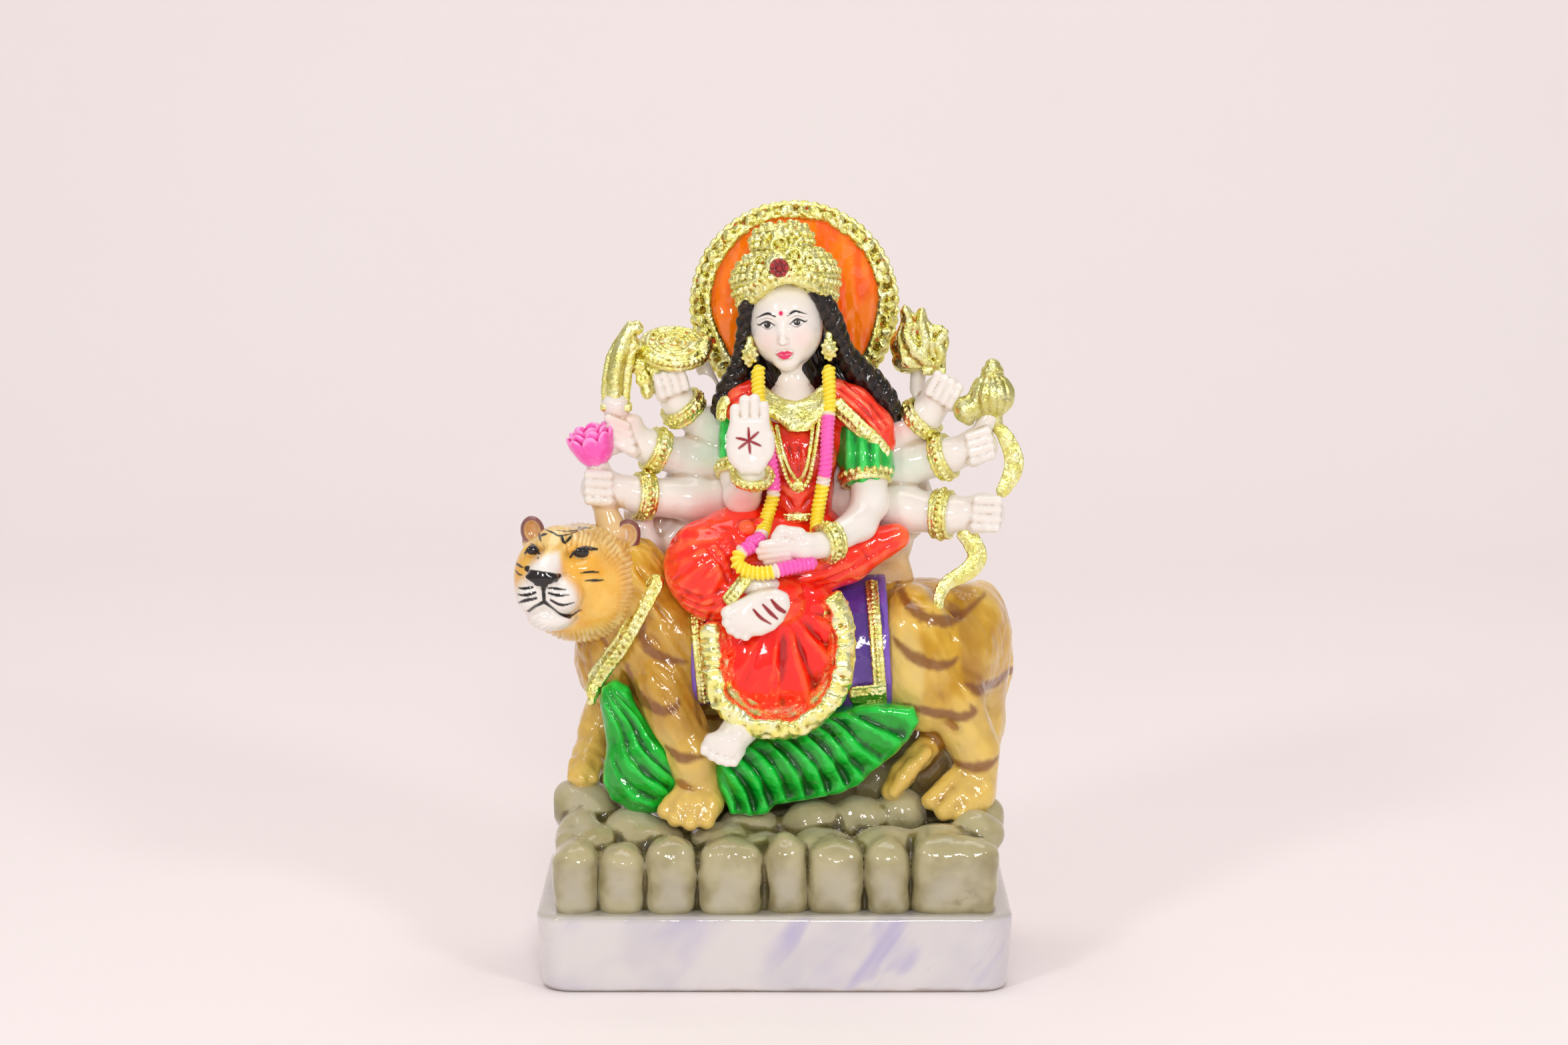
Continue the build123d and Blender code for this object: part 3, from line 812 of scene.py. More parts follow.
def tiger_coat_look():
    """Honey fur with brown stripes, a darker ochre rump and breast deepened with painted shade, glaze between
    the legs, painted shade in creases and in the hollow by the hind feet, and a painted highlight on crests.
    """
    m = Finish("tiger_coat", roughness=0.3, coat=1.0, coat_roughness=0.04, milk=0.08)
    honey = m.mix(m.remap(m.noise(6.0, 3.0), 0.3, 0.7), srgb(192, 142, 26), srgb(216, 168, 46))
    coat = m.mix(m.attribute("pale"), honey, srgb(222, 192, 112))
    # Painted shade in creases, then a painted highlight on crests.
    coat = m.mix(m.remap(m.attribute("crevice"), 0.52, 0.9), coat, srgb(164, 112, 32))
    coat = m.mix(m.remap(m.attribute("crevice"), 0.42, 0.1, 0.0, 0.5), coat, srgb(242, 206, 104))
    # Darker ochre on the rump and breast, deepened with painted shade.
    coat = m.mix(m.math("MULTIPLY", m.attribute("tan"), 0.8), coat, srgb(168, 116, 34))
    coat = m.mix(m.math("MULTIPLY", m.attribute("glaze"), 0.9), coat, srgb(158, 148, 108))
    coat = m.mix(m.math("MULTIPLY", m.attribute("shade"), 0.85), coat, srgb(92, 72, 34))
    m.set("Base Color", m.mix(m.math("MULTIPLY", m.attribute("stripe"), 0.85), coat, srgb(126, 72, 36)))
    m.bump(m.noise(0.8, 3.0, stretch=(1, 1, 3), turn=(0, 0.6, 0)), 0.10)
    return m.material


def tiger_coat():
    def build(c):
        c.chain([at(-22, 1.5, 62), at(6, 2.5, 62), at(31, 3, 61.5)], [13.4, 13.8, 14.2], 0, 1)
        c.chain([at(-23, 0.5, 64), at(-29.5, -3.5, 76)], [12.6, 10.0], 3)
        c.add(egg(at(-31, -1.5, 61), (8.2, 8.8, 10.5)), 3)
        c.add(egg(at(-21.5, -7.5, 62), (8.4, 6.0, 11.5), axes((0.12, -0.1, 1))), 2)
        c.add(egg(at(-20.5, 9, 62), (8.4, 6.0, 11.0)), 2)
        c.chain(
            [at(-21.8, -8.5, 57), at(-19.2, -10.8, 49.6), at(-15.9, -12.2, 43), at(-14.2, -13.0, 36)],
            [6.4, 5.3, 5.0, 4.7], 1.6, 1,
        )
        c.add(egg(at(-15.6, -15.0, 34.0), (5.8, 4.6, 3.6)), 1.4)
        c.chain([at(-29, 7, 57), at(-34, 6, 45), at(-36.5, 1, 40.6)], [6.0, 4.6, 3.7], 2, 1)
        c.chain([at(-36.2, 0, 40.2), at(-37.5, -4.5, 38.0)], [3.7, 3.2], 1.2, 1)
        c.add(egg(at(39.4, 7.0, 60.5), (7.6, 9.6, 14.2), axes((0.12, 0, 1))), 1.2)
        c.add(egg(at(38.6, 2.6, 67.0), (6.8, 7.0, 7.6)), 1.6)
        for x, y, z, *size in (
            (-14, 2.0, 35, 8.0, 6.6, 8.0), (-3, 2.6, 34, 7.4, 6.2, 9.0), (8, 1.6, 35, 8.4, 7.0, 7.4),
            (20, 2.4, 34, 8.0, 6.4, 8.6),
            (30, 1.4, 35, 6.4, 6.4, 8.0), (-9, 1.0, 45, 9.0, 5.6, 6.4), (5, 2.4, 46, 9.6, 5.2, 6.6),
            (19, 1.2, 45, 9.4, 5.8, 6.6),
        ):
            c.add(egg(at(x, y, z), size), 0.9)
        c.add(egg(at(31.0, -3.0, 39.0), (6.0, 3.8, 6.5)), 1.5)
        c.add(egg(at(27.6, -4.6, 61.5), (8.4, 9.2, 14.5), axes((-0.06, 0.08, 1))), 0.7)
        c.add(block(at(28.2, -5.0, 62.6), (6.6, 7.6, 10.4), 5.2, axes((-0.04, 0.06, 1))), 1.2)
        c.add(egg(at(30.6, -6.0, 53.5), (6.6, 6.6, 6.8)), 1.4)
        c.add(egg(at(33.5, 10, 61), (9.6, 8.0, 13.0)), 1.6)
        c.chain([at(34.6, -5.6, 53.5), at(39.4, -7.2, 43), at(39.4, -8.4, 36.5)], [6.6, 4.4, 4.2], 1.2, 1)
        c.add(egg(at(38.4, -10.2, 34.4), (4.8, 3.8, 3.6)), 1.2)
        c.chain([at(38.5, 8, 58), at(40.2, 7.5, 46), at(40, 6, 35)], [8.0, 5.6, 4.4], 1.5, 1)
        c.chain(
            [at(31.8, -4.5, 45.5), at(28.1, -7.6, 42.0), at(25.2, -8.8, 39.0), at(22.9, -9.6, 35.6)],
            [2.9, 2.6, 2.5, 2.2], 1.0, 0.6,
        )
        c.chain(
            [at(29.6, -9.2, 43.2), at(27.2, -10.4, 40.8), at(25.0, -11.2, 38.2), at(23.3, -11.6, 35.8)],
            [1.4, 1.6, 1.5, 1.2], 0.5, 0.6,
        )
        c.tube(
            [
                (*at(41.5, 12, 69), 3.0), (*at(45, 17, 60), 2.7), (*at(44.5, 19.3, 50), 2.5),
                (*at(39.5, 19.5, 40), 2.2),
            ],
            1,
        )
        for heel, toe in (
            ((-18.2, -15.4, 36.0), (-21.2, -17.2, 33.2)), ((-16.8, -16.8, 35.2), (-19.2, -18.8, 32.0)),
            ((-14.8, -17.2, 34.8), (-16.4, -19.6, 31.4)), ((-12.6, -16.6, 34.6), (-13.2, -19.0, 31.6)),
        ):
            c.chain([at(*heel), at(*toe)], [2.0, 1.7], 1.0, 0.5)
        for heel, toe in (
            ((36.4, -9.0, 38.4), (30.4, -11.6, 34.0)), ((38.4, -10.2, 37.0), (33.0, -12.8, 32.2)),
            ((40.4, -10.6, 36.0), (36.6, -13.0, 31.6)),
        ):
            c.chain([at(*heel), at(*toe)], [2.6, 1.9], 0.9, 0.5)
        for x, y in ((-39.8, -5.6), (-37.8, -7.0), (-35.6, -6.4)):
            c.chain([at(x + 0.4, y + 2.4, 39.6), at(x, y, 37.6)], [1.5, 1.25], 0.5, 0.4)
        c.crease(
            [at(-28.4, -9.5, 64), at(-29.0, -10.5, 57), at(-25.6, -12.0, 50), at(-21.8, -13, 44)], 0.9, 0.7
        )
        c.crease([at(-15.0, -12, 66), at(-14.0, -12.5, 58), at(-14.5, -13, 50)], 1.0, 0.6)
        c.crease([at(30.0, -13.5, 52), at(33.0, -12.5, 49.6), at(35.6, -11.0, 48.6)], 1.2, 0.5)
        edge = [at(35.2, -5.4, 73), at(35.6, -5.6, 68), at(36.2, -5.4, 62), at(37.0, -5.6, 57.4)]
        c.crease(edge + [at(39.2, -6.0, 53.6), at(41.6, -5.0, 51.4)], 1.5, 1.5)
        c.add(limb(at(31.5, -9.0, 61.0), at(36.6, -8.2, 54.0), 3.2, 3.6), 2.4)

    near_side = [
        [(-25.3, 72.8), (-25.8, 68.0), (-24.2, 64.5), (-20.8, 62.5), (-17.1, 61.8)],
        [(-28.6, 61.1), (-27.9, 57.6), (-25.6, 54.5), (-22.2, 52.8), (-19.5, 53.2), (-18.4, 54.9)],
        [(-21.0, 45.6), (-18.0, 43.8), (-13.6, 44.2)],
        [
            (22.9, 78.6), (24.3, 75.2), (26.5, 72.2), (29.7, 70.3), (33.0, 69.5), (35.2, 69.6), (37.7, 70.7),
            (41.4, 73.2),
        ],
        [(23.2, 66.3), (24.8, 64.7), (27.6, 62.7), (30.8, 61.4), (34.1, 61.4), (35.6, 62.4)],
        [(37.3, 57.2), (39.4, 56.0), (42.7, 55.4), (45.5, 56.2), (47.0, 57.6)],
        [(25.2, 53.2), (28.7, 52.3), (32.6, 51.5), (36.4, 50.9), (38.8, 51.8), (38.2, 53.2)],
        [(35.4, 41.2), (38.7, 40.8), (41.4, 41.1), (44.0, 42.3)],
    ]
    far_side = near_side + [
        [(-12.0, 72.0), (-10.5, 66.0), (-12.0, 60.0), (-9.0, 54.0)],
        [(0.0, 74.0), (2.0, 67.0), (0.5, 60.0), (3.0, 53.0)],
        [(11.0, 74.0), (13.0, 67.0), (11.5, 60.0), (14.0, 53.0)],
    ]

    def stripes(lines, share):
        out = []
        for line in lines:
            widths = 1.12 * share * np.sin(np.linspace(0.35, 2.9, len(line)))
            out.append(([at(x, 0, z) for x, z in line], np.maximum(widths, 0.16)))
        return out

    def finish(skin):
        x, y, z = skin.p.T
        flow = np.stack([x * 0.8 + z * 0.6, y, z * 0.8 - x * 0.6], 1)
        hairs = noise(flow * vec(1, 1, 0.28), 1.15, 21) + 0.7 * noise(flow * vec(1, 1, 0.22), 0.8, 22)
        shaggy = smoothstep(-10, -22, x) * smoothstep(46, 56, z)
        skin.push((0.11 + 0.16 * shaggy) * hairs)
        skin.p = skin.p + 0.25 * skin.normals() * noise(skin.p, 5.0, 23)[:, None]
        still = skin.p.copy()
        skin.p = skin.p + vec(1, 0, 1) * 0.25 * noise(skin.p, 0.9, 24)[:, None]
        front = brush(skin, stripes(near_side, 1.0), soft=0.5, facing=-0.1)
        behind = brush(skin, stripes(far_side, 1.3), soft=0.5, facing=9.0) * (skin.normals()[:, 1] > 0.1)
        rings = smoothstep(0.55, 0.8, np.sin(z * 0.95)) * smoothstep(14, 17, y) * (x > 34)
        skin.p = still
        skin.paint["stripe"] = np.maximum(np.maximum(front, behind), rings)
        pale = smoothstep(58, 48, z) * 0.6 + 0.5 * smoothstep(0.2, -0.6, skin.normals()[:, 2])
        flank = blob(skin, at(24.0, 0, 58), (5.0, 13.0), 1.2) * (skin.normals()[:, 1] < 0)
        skin.paint["pale"] = np.clip(np.maximum(pale, flank) + 0.35 * noise(skin.p, 7.0, 25), 0, 1)
        between_legs = smoothstep(8.6, 7.4, np.abs(y - 1.5)) * (x < 36) * (x > -24)
        skin.paint["glaze"] = between_legs * smoothstep(49, 44, z + 1.5 * noise(skin.p, 4.0, 26))
        along, aside = (x - 31.2) * 0.66 + (z - 38.0) * 0.75, (x - 31.2) * 0.75 - (z - 38.0) * 0.66
        hollow = smoothstep(1.1, 0.6, np.hypot(along / 5.6, aside / 2.8))
        hollow = hollow * smoothstep(-10.0, -7.5, y) * (y < 0)
        valley = np.interp(z, (50, 57, 62, 76), (43.0, 37.2, 36.2, 35.0))
        rump = smoothstep(-0.8, 0.6, x - valley) * smoothstep(7.0, 1.5, x - valley)
        rump = rump * smoothstep(52, 56, z) * smoothstep(79, 72, z)
        breast = smoothstep(-12, -17, x) * smoothstep(44, 50, z)
        breast = breast * smoothstep(80, 68, z) * smoothstep(2, -4, y)
        streak = 0.75 + 0.25 * noise(flow * vec(1, 1, 0.2), 1.6, 27)
        skin.paint["shade"] = hollow
        # Darker ochre with painted shade: the rump's hollow and the breast under the head.
        skin.paint["tan"] = np.clip(np.maximum(rump * (y < 2), 0.8 * breast) * streak, 0, 1)

    nodes = [
        "near_foreleg", "far_foreleg", "near_hind_leg", "far_hind_leg", "far_hind_foot", "tiger_body",
        "tiger_tail",
    ]
    sculpt(
        "tiger_coat_piece", nodes, 0.42, build, tiger_coat_look(), finish, crevice=(16, 0.2)
    )


def tiger_face_look():
    """Honey fur with a cream ruff, a white muzzle, ink strokes and painted shade in the hollows, all
    lacquered.
    """
    m = Finish("tiger_face", roughness=0.3, coat=1.0, coat_roughness=0.04, milk=0.1)
    honey = m.mix(m.remap(m.noise(5.0, 3.0), 0.35, 0.7), srgb(240, 180, 66), srgb(244, 200, 98))
    cream = m.mix(m.remap(m.noise(3.0, 4.0), 0.4, 0.65), srgb(238, 210, 142), srgb(222, 178, 92))
    coat = m.mix(m.attribute("ruff"), honey, cream)
    # Painted shade in the hollows.
    coat = m.mix(m.remap(m.attribute("crevice"), 0.6, 1.0, 0.0, 0.7), coat, srgb(190, 135, 50))
    coat = m.mix(m.attribute("white"), coat, srgb(240, 235, 228))
    m.set("Base Color", m.mix(m.attribute("ink"), coat, srgb(26, 20, 19)))
    m.bump(m.noise(1.2, 3.0), 0.05)
    return m.material


def tiger_head():
    middle = at(-38.0, -10.0, 76.8)
    left_eye, right_eye = at(-46.4, -17.6, 84.5), at(-37.0, -18.3, 84.3)
    nose = at(-44.3, -24.2, 80.4)

    def build(c):
        c.add(egg(at(-37.7, -8.2, 76.7), (11.9, 9.6, 11.7)))
        c.add(egg(at(-40.4, -12.6, 79.6), (9.7, 8.6, 8.9)), 1.5)
        c.add(egg(at(-34.6, -13.2, 75.5), (6.2, 5.4, 6.6)), 2.0)
        c.add(egg(at(-46.0, -13.5, 77.0), (4.0, 5.0, 6.2)), 2.0)
        c.add(limb(at(-41.6, -15.6, 84.8), nose + vec(0, 1.2, 0.2), 4.3, 2.7), 1.6)
        c.add(egg(at(-46.4, -20.9, 76.6), (3.1, 3.9, 3.6)), 1.0)
        c.add(egg(at(-40.9, -20.6, 76.4), (4.1, 4.2, 3.8)), 1.0)
        c.add(egg(at(-42.9, -18.8, 71.8), (4.6, 3.9, 2.7)), 1.0)
        c.add(egg(nose, (3.2, 1.5, 1.1), axes((0, -0.3, 1))), 0.5)
        c.add(egg(nose + vec(0.1, 0.1, -1.0), (1.7, 1.2, 1.2)), 0.5)
        for eye, out in ((left_eye, -1), (right_eye, 1)):
            c.cut(egg(eye + vec(0.1 * out, -2.1, 0), (2.9, 2.2, 1.7)), 1.4)
            c.add(egg(eye + vec(0, 0.5, 0), (2.0, 1.3, 1.25)), 0.3)
            c.crease(
                [eye + vec(-1.9, -0.8, 0.6), eye + vec(0, -1.2, 1.5), eye + vec(2.0, -0.6, 0.9)], 0.5, -0.35
            )
        c.crease([nose + vec(0.3, 0, -1.4), at(-44.0, -25.0, 77.5), at(-43.9, -24.5, 75.4)], 0.35, 0.5)
        lips = [at(-47.5, -21.8, 73.6), at(-45.5, -23.6, 74.3), at(-43.9, -24.0, 75.3)]
        c.crease(lips, 0.4, 0.55)
        lips = [
            at(-43.9, -24.0, 75.3), at(-42.0, -23.0, 73.8), at(-39.4, -20.6, 72.3), at(-37.4, -18.2, 72.9)
        ]
        c.crease(lips, 0.4, 0.55)

    def finish(skin):
        x, y, z = skin.p.T
        dx, dz = x - middle[0], z - middle[2]
        round_it = np.arctan2(dz, dx)
        out = np.hypot(dx, dz)
        comb = np.sin(round_it * 64 + 2.5 * noise(skin.p, 2.0, 1)) * smoothstep(7.6, 9.5, out)
        tufted = smoothstep(-0.2, 0.2, noise(skin.p, 3.5, 2) + 0.35)
        comb *= smoothstep(6.5, 3.0, y - middle[1]) * smoothstep(-9.5, -5.5, dx - 0.4 * dz) * tufted
        fur = noise(skin.p * vec(1, 1, 0.5), 1.3, 3)
        away = smoothstep(2.0, 5.0, np.linalg.norm(skin.p - (nose + vec(0.6, 2, -3)), axis=1) - 3.0)
        skin.push(0.16 * comb + 0.05 * fur * away)
        muzzle, chin = blob(
            skin, at(-43.6, 0, 75.6), (6.3, 5.3), 1.0
        ), blob(skin, at(-43.0, 0, 71.6), (4.6, 2.9), 0.9)
        white = np.maximum(muzzle, chin)
        blaze = brush(skin, [(seen((-44.0, 80.2), (-43.0, 82.2), (-41.6, 84.4)), (3.4, 2.3, 0.5))], soft=0.7)
        skin.paint["white"] = np.maximum(white, blaze) * smoothstep(-8.0, -12.5, y)
        cheek = smoothstep(-8, 3, dx + 0.5 * np.abs(dz))
        skin.paint["ruff"] = smoothstep(7.2, 10.5, out + 0.8 * noise(skin.p, 3.0, 4)) * cheek
        thin = 0.16
        lines = [
            (
                [
                    nose + vec(-3.2, 0, 0.7), nose + vec(-1.2, 0, 0.9), nose + vec(1.4, 0, 0.5),
                    nose + vec(3.1, 0, 0.0),
                ],
                (0.55, 0.6, 0.6, 0.5),
            ),
            (
                [nose + vec(-2.6, 0, 0.2), nose + vec(-0.2, 0, -0.5), nose + vec(2.6, 0, -0.5)],
                (0.5, 0.9, 0.55),
            ),
            (
                [
                    nose + vec(-0.8, 0, -0.8), nose + vec(0.5, 0, -1.0), nose + vec(0.3, 0, -2.4),
                    at(-43.9, 0, 75.4),
                ],
                (0.8, 0.8, 0.42, 0.32),
            ),
            (seen((-43.9, 75.5), (-45.6, 74.7), (-47.1, 73.5)), (0.42, 0.3, 0.34)),
            (seen((-43.9, 75.5), (-42.3, 74.3), (-40.9, 73.0), (-39.2, 72.2)), (0.42, 0.3, 0.3, 0.38)),
            (seen((-39.2, 72.2), (-38.2, 72.5), (-37.5, 73.0)), (0.26, 0.18, 0.1)),
            (seen((-43.1, 78.3), (-41.6, 78.2), (-39.7, 78.0)), (0.2, 0.24, 0.08)),
            (seen((-43.0, 77.3), (-41.2, 77.0), (-39.2, 77.0)), (0.2, 0.28, 0.08)),
            (seen((-42.6, 76.0), (-40.6, 75.1), (-38.2, 75.4)), (0.24, 0.3, 0.08)),
            (seen((-46.1, 78.5), (-47.6, 78.2), (-49.0, 78.1)), (0.24, 0.26, 0.08)),
            (seen((-45.6, 77.5), (-47.3, 77.0), (-49.1, 76.9)), (0.28, 0.32, 0.08)),
            (seen((-45.4, 76.4), (-47.3, 76.0), (-49.0, 75.2)), (0.26, 0.36, 0.12)),
            ([right_eye + vec(-0.5, 0, -0.1), right_eye + vec(0.5, 0, 0)], (0.95, 0.95)),
            (
                [
                    right_eye + vec(-2.1, 0, -0.8), right_eye + vec(-1.0, 0, 0.3),
                    right_eye + vec(0.6, 0, 0.8), right_eye + vec(2.9, 0, 0.35),
                ],
                (0.2, 0.4, 0.4, 0.22),
            ),
            (
                [right_eye + vec(-1.6, 0, -0.3), right_eye + vec(0, 0, -0.9), right_eye + vec(1.2, 0, -0.4)],
                (0.14, 0.2, 0.14),
            ),
            ([left_eye + vec(-0.3, 0, 0.1), left_eye + vec(0.4, 0, 0.1)], (0.85, 0.85)),
            (
                [
                    left_eye + vec(-1.5, 0, -0.6), left_eye + vec(-0.8, 0, 0.5), left_eye + vec(0.3, 0, 0.8),
                    left_eye + vec(1.3, 0, -0.6),
                ],
                (0.2, 0.3, 0.4, 0.2),
            ),
            (seen((-40.7, 87.3), (-40.4, 86.6), (-40.0, 86.2)), (0.3, 0.3, 0.12)),
            (seen((-40.0, 86.3), (-39.3, 87.0), (-38.8, 87.6)), (0.16, 0.3, 0.1)),
            (seen((-45.7, 88.0), (-45.1, 87.1), (-44.8, 86.5)), (0.24, 0.28, 0.12)),
            (seen((-44.9, 87.3), (-44.3, 87.6), (-43.7, 87.8)), (0.12, 0.22, 0.12)),
            (seen((-37.1, 80.6), (-35.4, 80.7), (-33.7, 80.5)), (0.1, 0.26, 0.12)),
            (seen((-36.3, 79.1), (-34.4, 79.0), (-32.8, 78.9)), (0.1, 0.26, 0.1)),
            (seen((-49.7, 81.5), (-49.0, 81.4), (-48.3, 81.2)), (0.24, 0.24, 0.12)),
            (seen((-49.8, 80.2), (-49.1, 79.8), (-48.5, 79.8)), (0.18, 0.2, 0.1)),
            (
                seen((-44.0, 88.4), (-42.5, 88.1), (-41.3, 87.6), (-39.6, 87.7), (-37.8, 88.0)),
                (0.06, thin, thin, 0.12, 0.06),
            ),
            (seen((-41.8, 88.5), (-39.6, 88.2), (-37.4, 88.1), (-35.6, 87.9)), (0.05, 0.1, 0.1, 0.05)),
        ]
        skin.paint["ink"] = brush(skin, lines)

    sculpt(
        "tiger_head_piece", ["tiger_head"], 0.2, build, tiger_face_look(), finish,
        crevice=(10, 0.10), margin=2.0,
    )


def ear_paint_look():
    """Cream with a brown inside, and painted shade in the hollows."""
    m = Finish("ear_paint", roughness=0.35, coat=1.0, coat_roughness=0.05)
    # Painted shade in the hollows.
    cream = m.mix(m.remap(m.attribute("crevice"), 0.5, 0.9), srgb(232, 200, 140), srgb(205, 150, 100))
    m.set("Base Color", m.mix(m.attribute("inner"), srgb(132, 82, 78), cream))
    m.bump(m.noise(0.8, 3.0), 0.06)
    return m.material


def tiger_ears():
    ears = [(at(-47.0, -8.4, 87.0), 2.35, 2.9, -0.15), (at(-28.7, -8.0, 86.0), 2.7, 3.2, 0.25)]

    def build(c):
        for centre, wide, tall, lean in ears:
            turn = axes((lean, 0, 1))
            c.add(egg(centre, (wide, 1.7, tall), turn))
            c.add(egg(centre + vec(0, 0.8, -2.4), (wide * 0.9, 1.8, 2.2), turn), 0.8)
            c.cut(egg(centre + vec(0, -1.5, 0.15), (wide - 0.75, 1.5, tall - 0.85), turn), 0.25)

    def finish(skin):
        inner = np.zeros(len(skin.p), np.float32)
        for centre, wide, tall, lean in ears:
            q = (skin.p - (centre + vec(0, 0, 0.1))) @ axes((lean, 0, 1)).T
            near = np.hypot(q[:, 0] / (wide - 0.85), q[:, 2] / (tall - 0.95))
            inner = np.maximum(inner, smoothstep(1.12, 0.95, near) * (q[:, 1] < 0.3))
            root = smoothstep(-1.4, -2.6, q[:, 2])
            inner = np.maximum(inner, root * (np.abs(q[:, 0]) < 6))
        skin.paint["inner"] = inner
        skin.push(0.05 * noise(skin.p, 0.9, 3))

    sculpt(
        "tiger_ear_pair", ["tiger_ears"], 0.2, build, ear_paint_look(), finish,
        crevice=(8, 0.1),
    )


def tiger_collar():
    line = [
        at(-22.6, -11.6, 78.2), at(-25.6, -12.6, 72.6), at(-29.6, -12.4, 65.4), at(-33.6, -9.8, 59.6),
        at(-35.2, -9.0, 57.0),
    ]

    def build(c):
        beaded_band(c, line, lambda p: (-0.45, -1, 0.1), 1.75, thick=1.0, bead=0.62, spacing=1.35)
        c.add(egg(at(-35.4, -9.4, 55.6), (1.5, 1.2, 1.9)), 0.3)
        c.add(egg(at(-35.7, -9.6, 53.6), (0.9, 0.8, 1.0)), 0.3)

    gold_piece(
        "tiger_collar_piece", "tiger_collar", 0.2, build, crumpled(0.10, 0.8), (10, 0.1), "collar_gold", 0.2
    )


BARREL_Y, BARREL_Z = 2.5, 61.6  # the axis of the tiger's barrel


def barrel_point(x, z, lift):
    """Point on the tiger's near side, this far out from the barrel's axis."""
    return at(x, BARREL_Y - math.sqrt(max(lift**2 - (z - BARREL_Z) ** 2, 0.01)), z)


def far_side(p):
    """The same point on the far side of the barrel."""
    return p * vec(1, -1, 1) + vec(0, 2 * at(0, BARREL_Y, 0)[1], 0)


def saddle_cloth():
    axis = at(0, BARREL_Y, BARREL_Z)
    low, high = span("saddle_cloth", margin=1.0)

    def distance(p):
        q = p - axis
        rho = np.hypot(q[:, 1], q[:, 2])
        folds = 0.22 * np.sin(p[:, 0] * 1.1 + 0.08 * p[:, 2]) * smoothstep(6, -8, q[:, 2])
        shell = np.abs(rho - 15.0 - folds) - 0.65
        right = p[:, 0] - (axis[0] + 22.6 + 0.05 * (axis[2] - p[:, 2]))
        left = axis[0] - 16.2 - p[:, 0]
        foot = axis[2] - 8.6 - 0.12 * (p[:, 0] - axis[0]) * (p[:, 0] > axis[0]) * 0.5 - p[:, 2]
        cut = np.maximum(np.maximum(right, left), foot)
        outside = np.hypot(np.maximum(shell + 0.4, 0), np.maximum(cut + 0.4, 0))
        return outside + np.minimum(np.maximum(shell, cut) + 0.4, 0) - 0.4

    shape = Shape(low, high, distance)
    paint = lacquered("purple_paint", srgb(92, 58, 158), srgb(54, 30, 104), srgb(126, 88, 190), wave=0.08)
    sculpt("saddle_cloth_piece", ["saddle_cloth"], 0.36, lambda c: c.add(shape), paint,
           crumpled(0.10, 2.2), (12, 0.14), margin=2.5)


def saddle_trim():
    def outward(p):
        return p * vec(0, 1, 1) - at(0, BARREL_Y, BARREL_Z) * vec(0, 1, 1)

    def border(c, line, half):
        for points in (line, [far_side(p) for p in line]):
            beaded_band(c, points, outward, half, thick=0.7, rim=0.36, bead=0.42, spacing=0.95)

    def build(c):
        for x_top, x_foot in ((18.9, 20.7), (-15.6, -13.6)):
            down = np.linspace(0, 1, 9)
            border(
                c, [barrel_point(x_top + (x_foot - x_top) * t, 76.2 - 22.6 * t, 15.9) for t in down], 1.15
            )
        border(c, [barrel_point(x, 55.6 + 0.1 * (x - 18), 16.0) for x in np.linspace(14.8, 21.2, 5)], 1.9)

    gold_piece(
        "saddle_trim_piece", "saddle_trim", 0.2, build, crumpled(0.10, 0.9), (10, 0.1), "trim_gold", 0.2
    )


def pleated(skin, phase, depth, where):
    """Folds with one steep and one slow side, one for each whole number of the phase."""
    share = phase - np.floor(phase)
    profile = np.minimum(share / 0.78, (1 - share) / 0.22)
    skin.push(depth * (profile - 0.55) * where)


def green_sheaf():
    outline = [
        (-33.6, 56.4), (-31.0, 57.8), (-28.6, 56.6), (-27.0, 53.0), (-22.9, 46.6), (-19.6, 41.0),
        (-18.2, 37.6), (-20.4, 35.0), (-23.6, 32.8), (-27.6, 33.6), (-31.8, 34.8), (-33.2, 38.0),
        (-32.0, 44.0), (-31.8, 49.6), (-33.6, 53.6),
    ]

    def build(c):
        c.add(plate(outline, -13.6, -8.4, 2.0, centre=at(0, 0, 0)))
        c.add(egg(at(-26.0, -11.6, 40.0), (6.8, 4.8, 8.6), axes((-0.3, 0, 1))), 2.0)
        c.add(egg(at(-30.4, -11.2, 49.6), (3.0, 3.2, 7.4), axes((-0.15, 0, 1))), 1.6)

    def finish(skin):
        x, _, z = skin.p.T
        front = smoothstep(0.05, -0.55, skin.normals()[:, 1])
        drop = 64.0 - z
        angle = np.arctan2(x + 35.5 - 0.012 * drop**2, drop)
        inside = smoothstep(0.2, -1.8, outline_distance(x, z, np.asarray(outline, np.float32)))
        depth = 1.1 + 0.6 * noise(skin.p, 7.0, 56)
        pleated(
            skin, angle * 6.2 + 0.55 * noise(skin.p, 8.0, 51), depth,
            front * inside * smoothstep(4, 14, drop),
        )
        skin.push(0.24 * noise(skin.p, 3.0, 52) + 0.06 * noise(skin.p, 1.0, 57))

    paint = lacquered(
        "leaf_green", srgb(0, 166, 34), srgb(0, 92, 18), srgb(10, 206, 62), crevice=(0.48, 0.86), wave=0.14
    )
    sculpt(
        "green_sheaf_piece", ["green_sheaf"], 0.28, build, paint, finish, (14, 0.26),
        margin=3.0,
    )


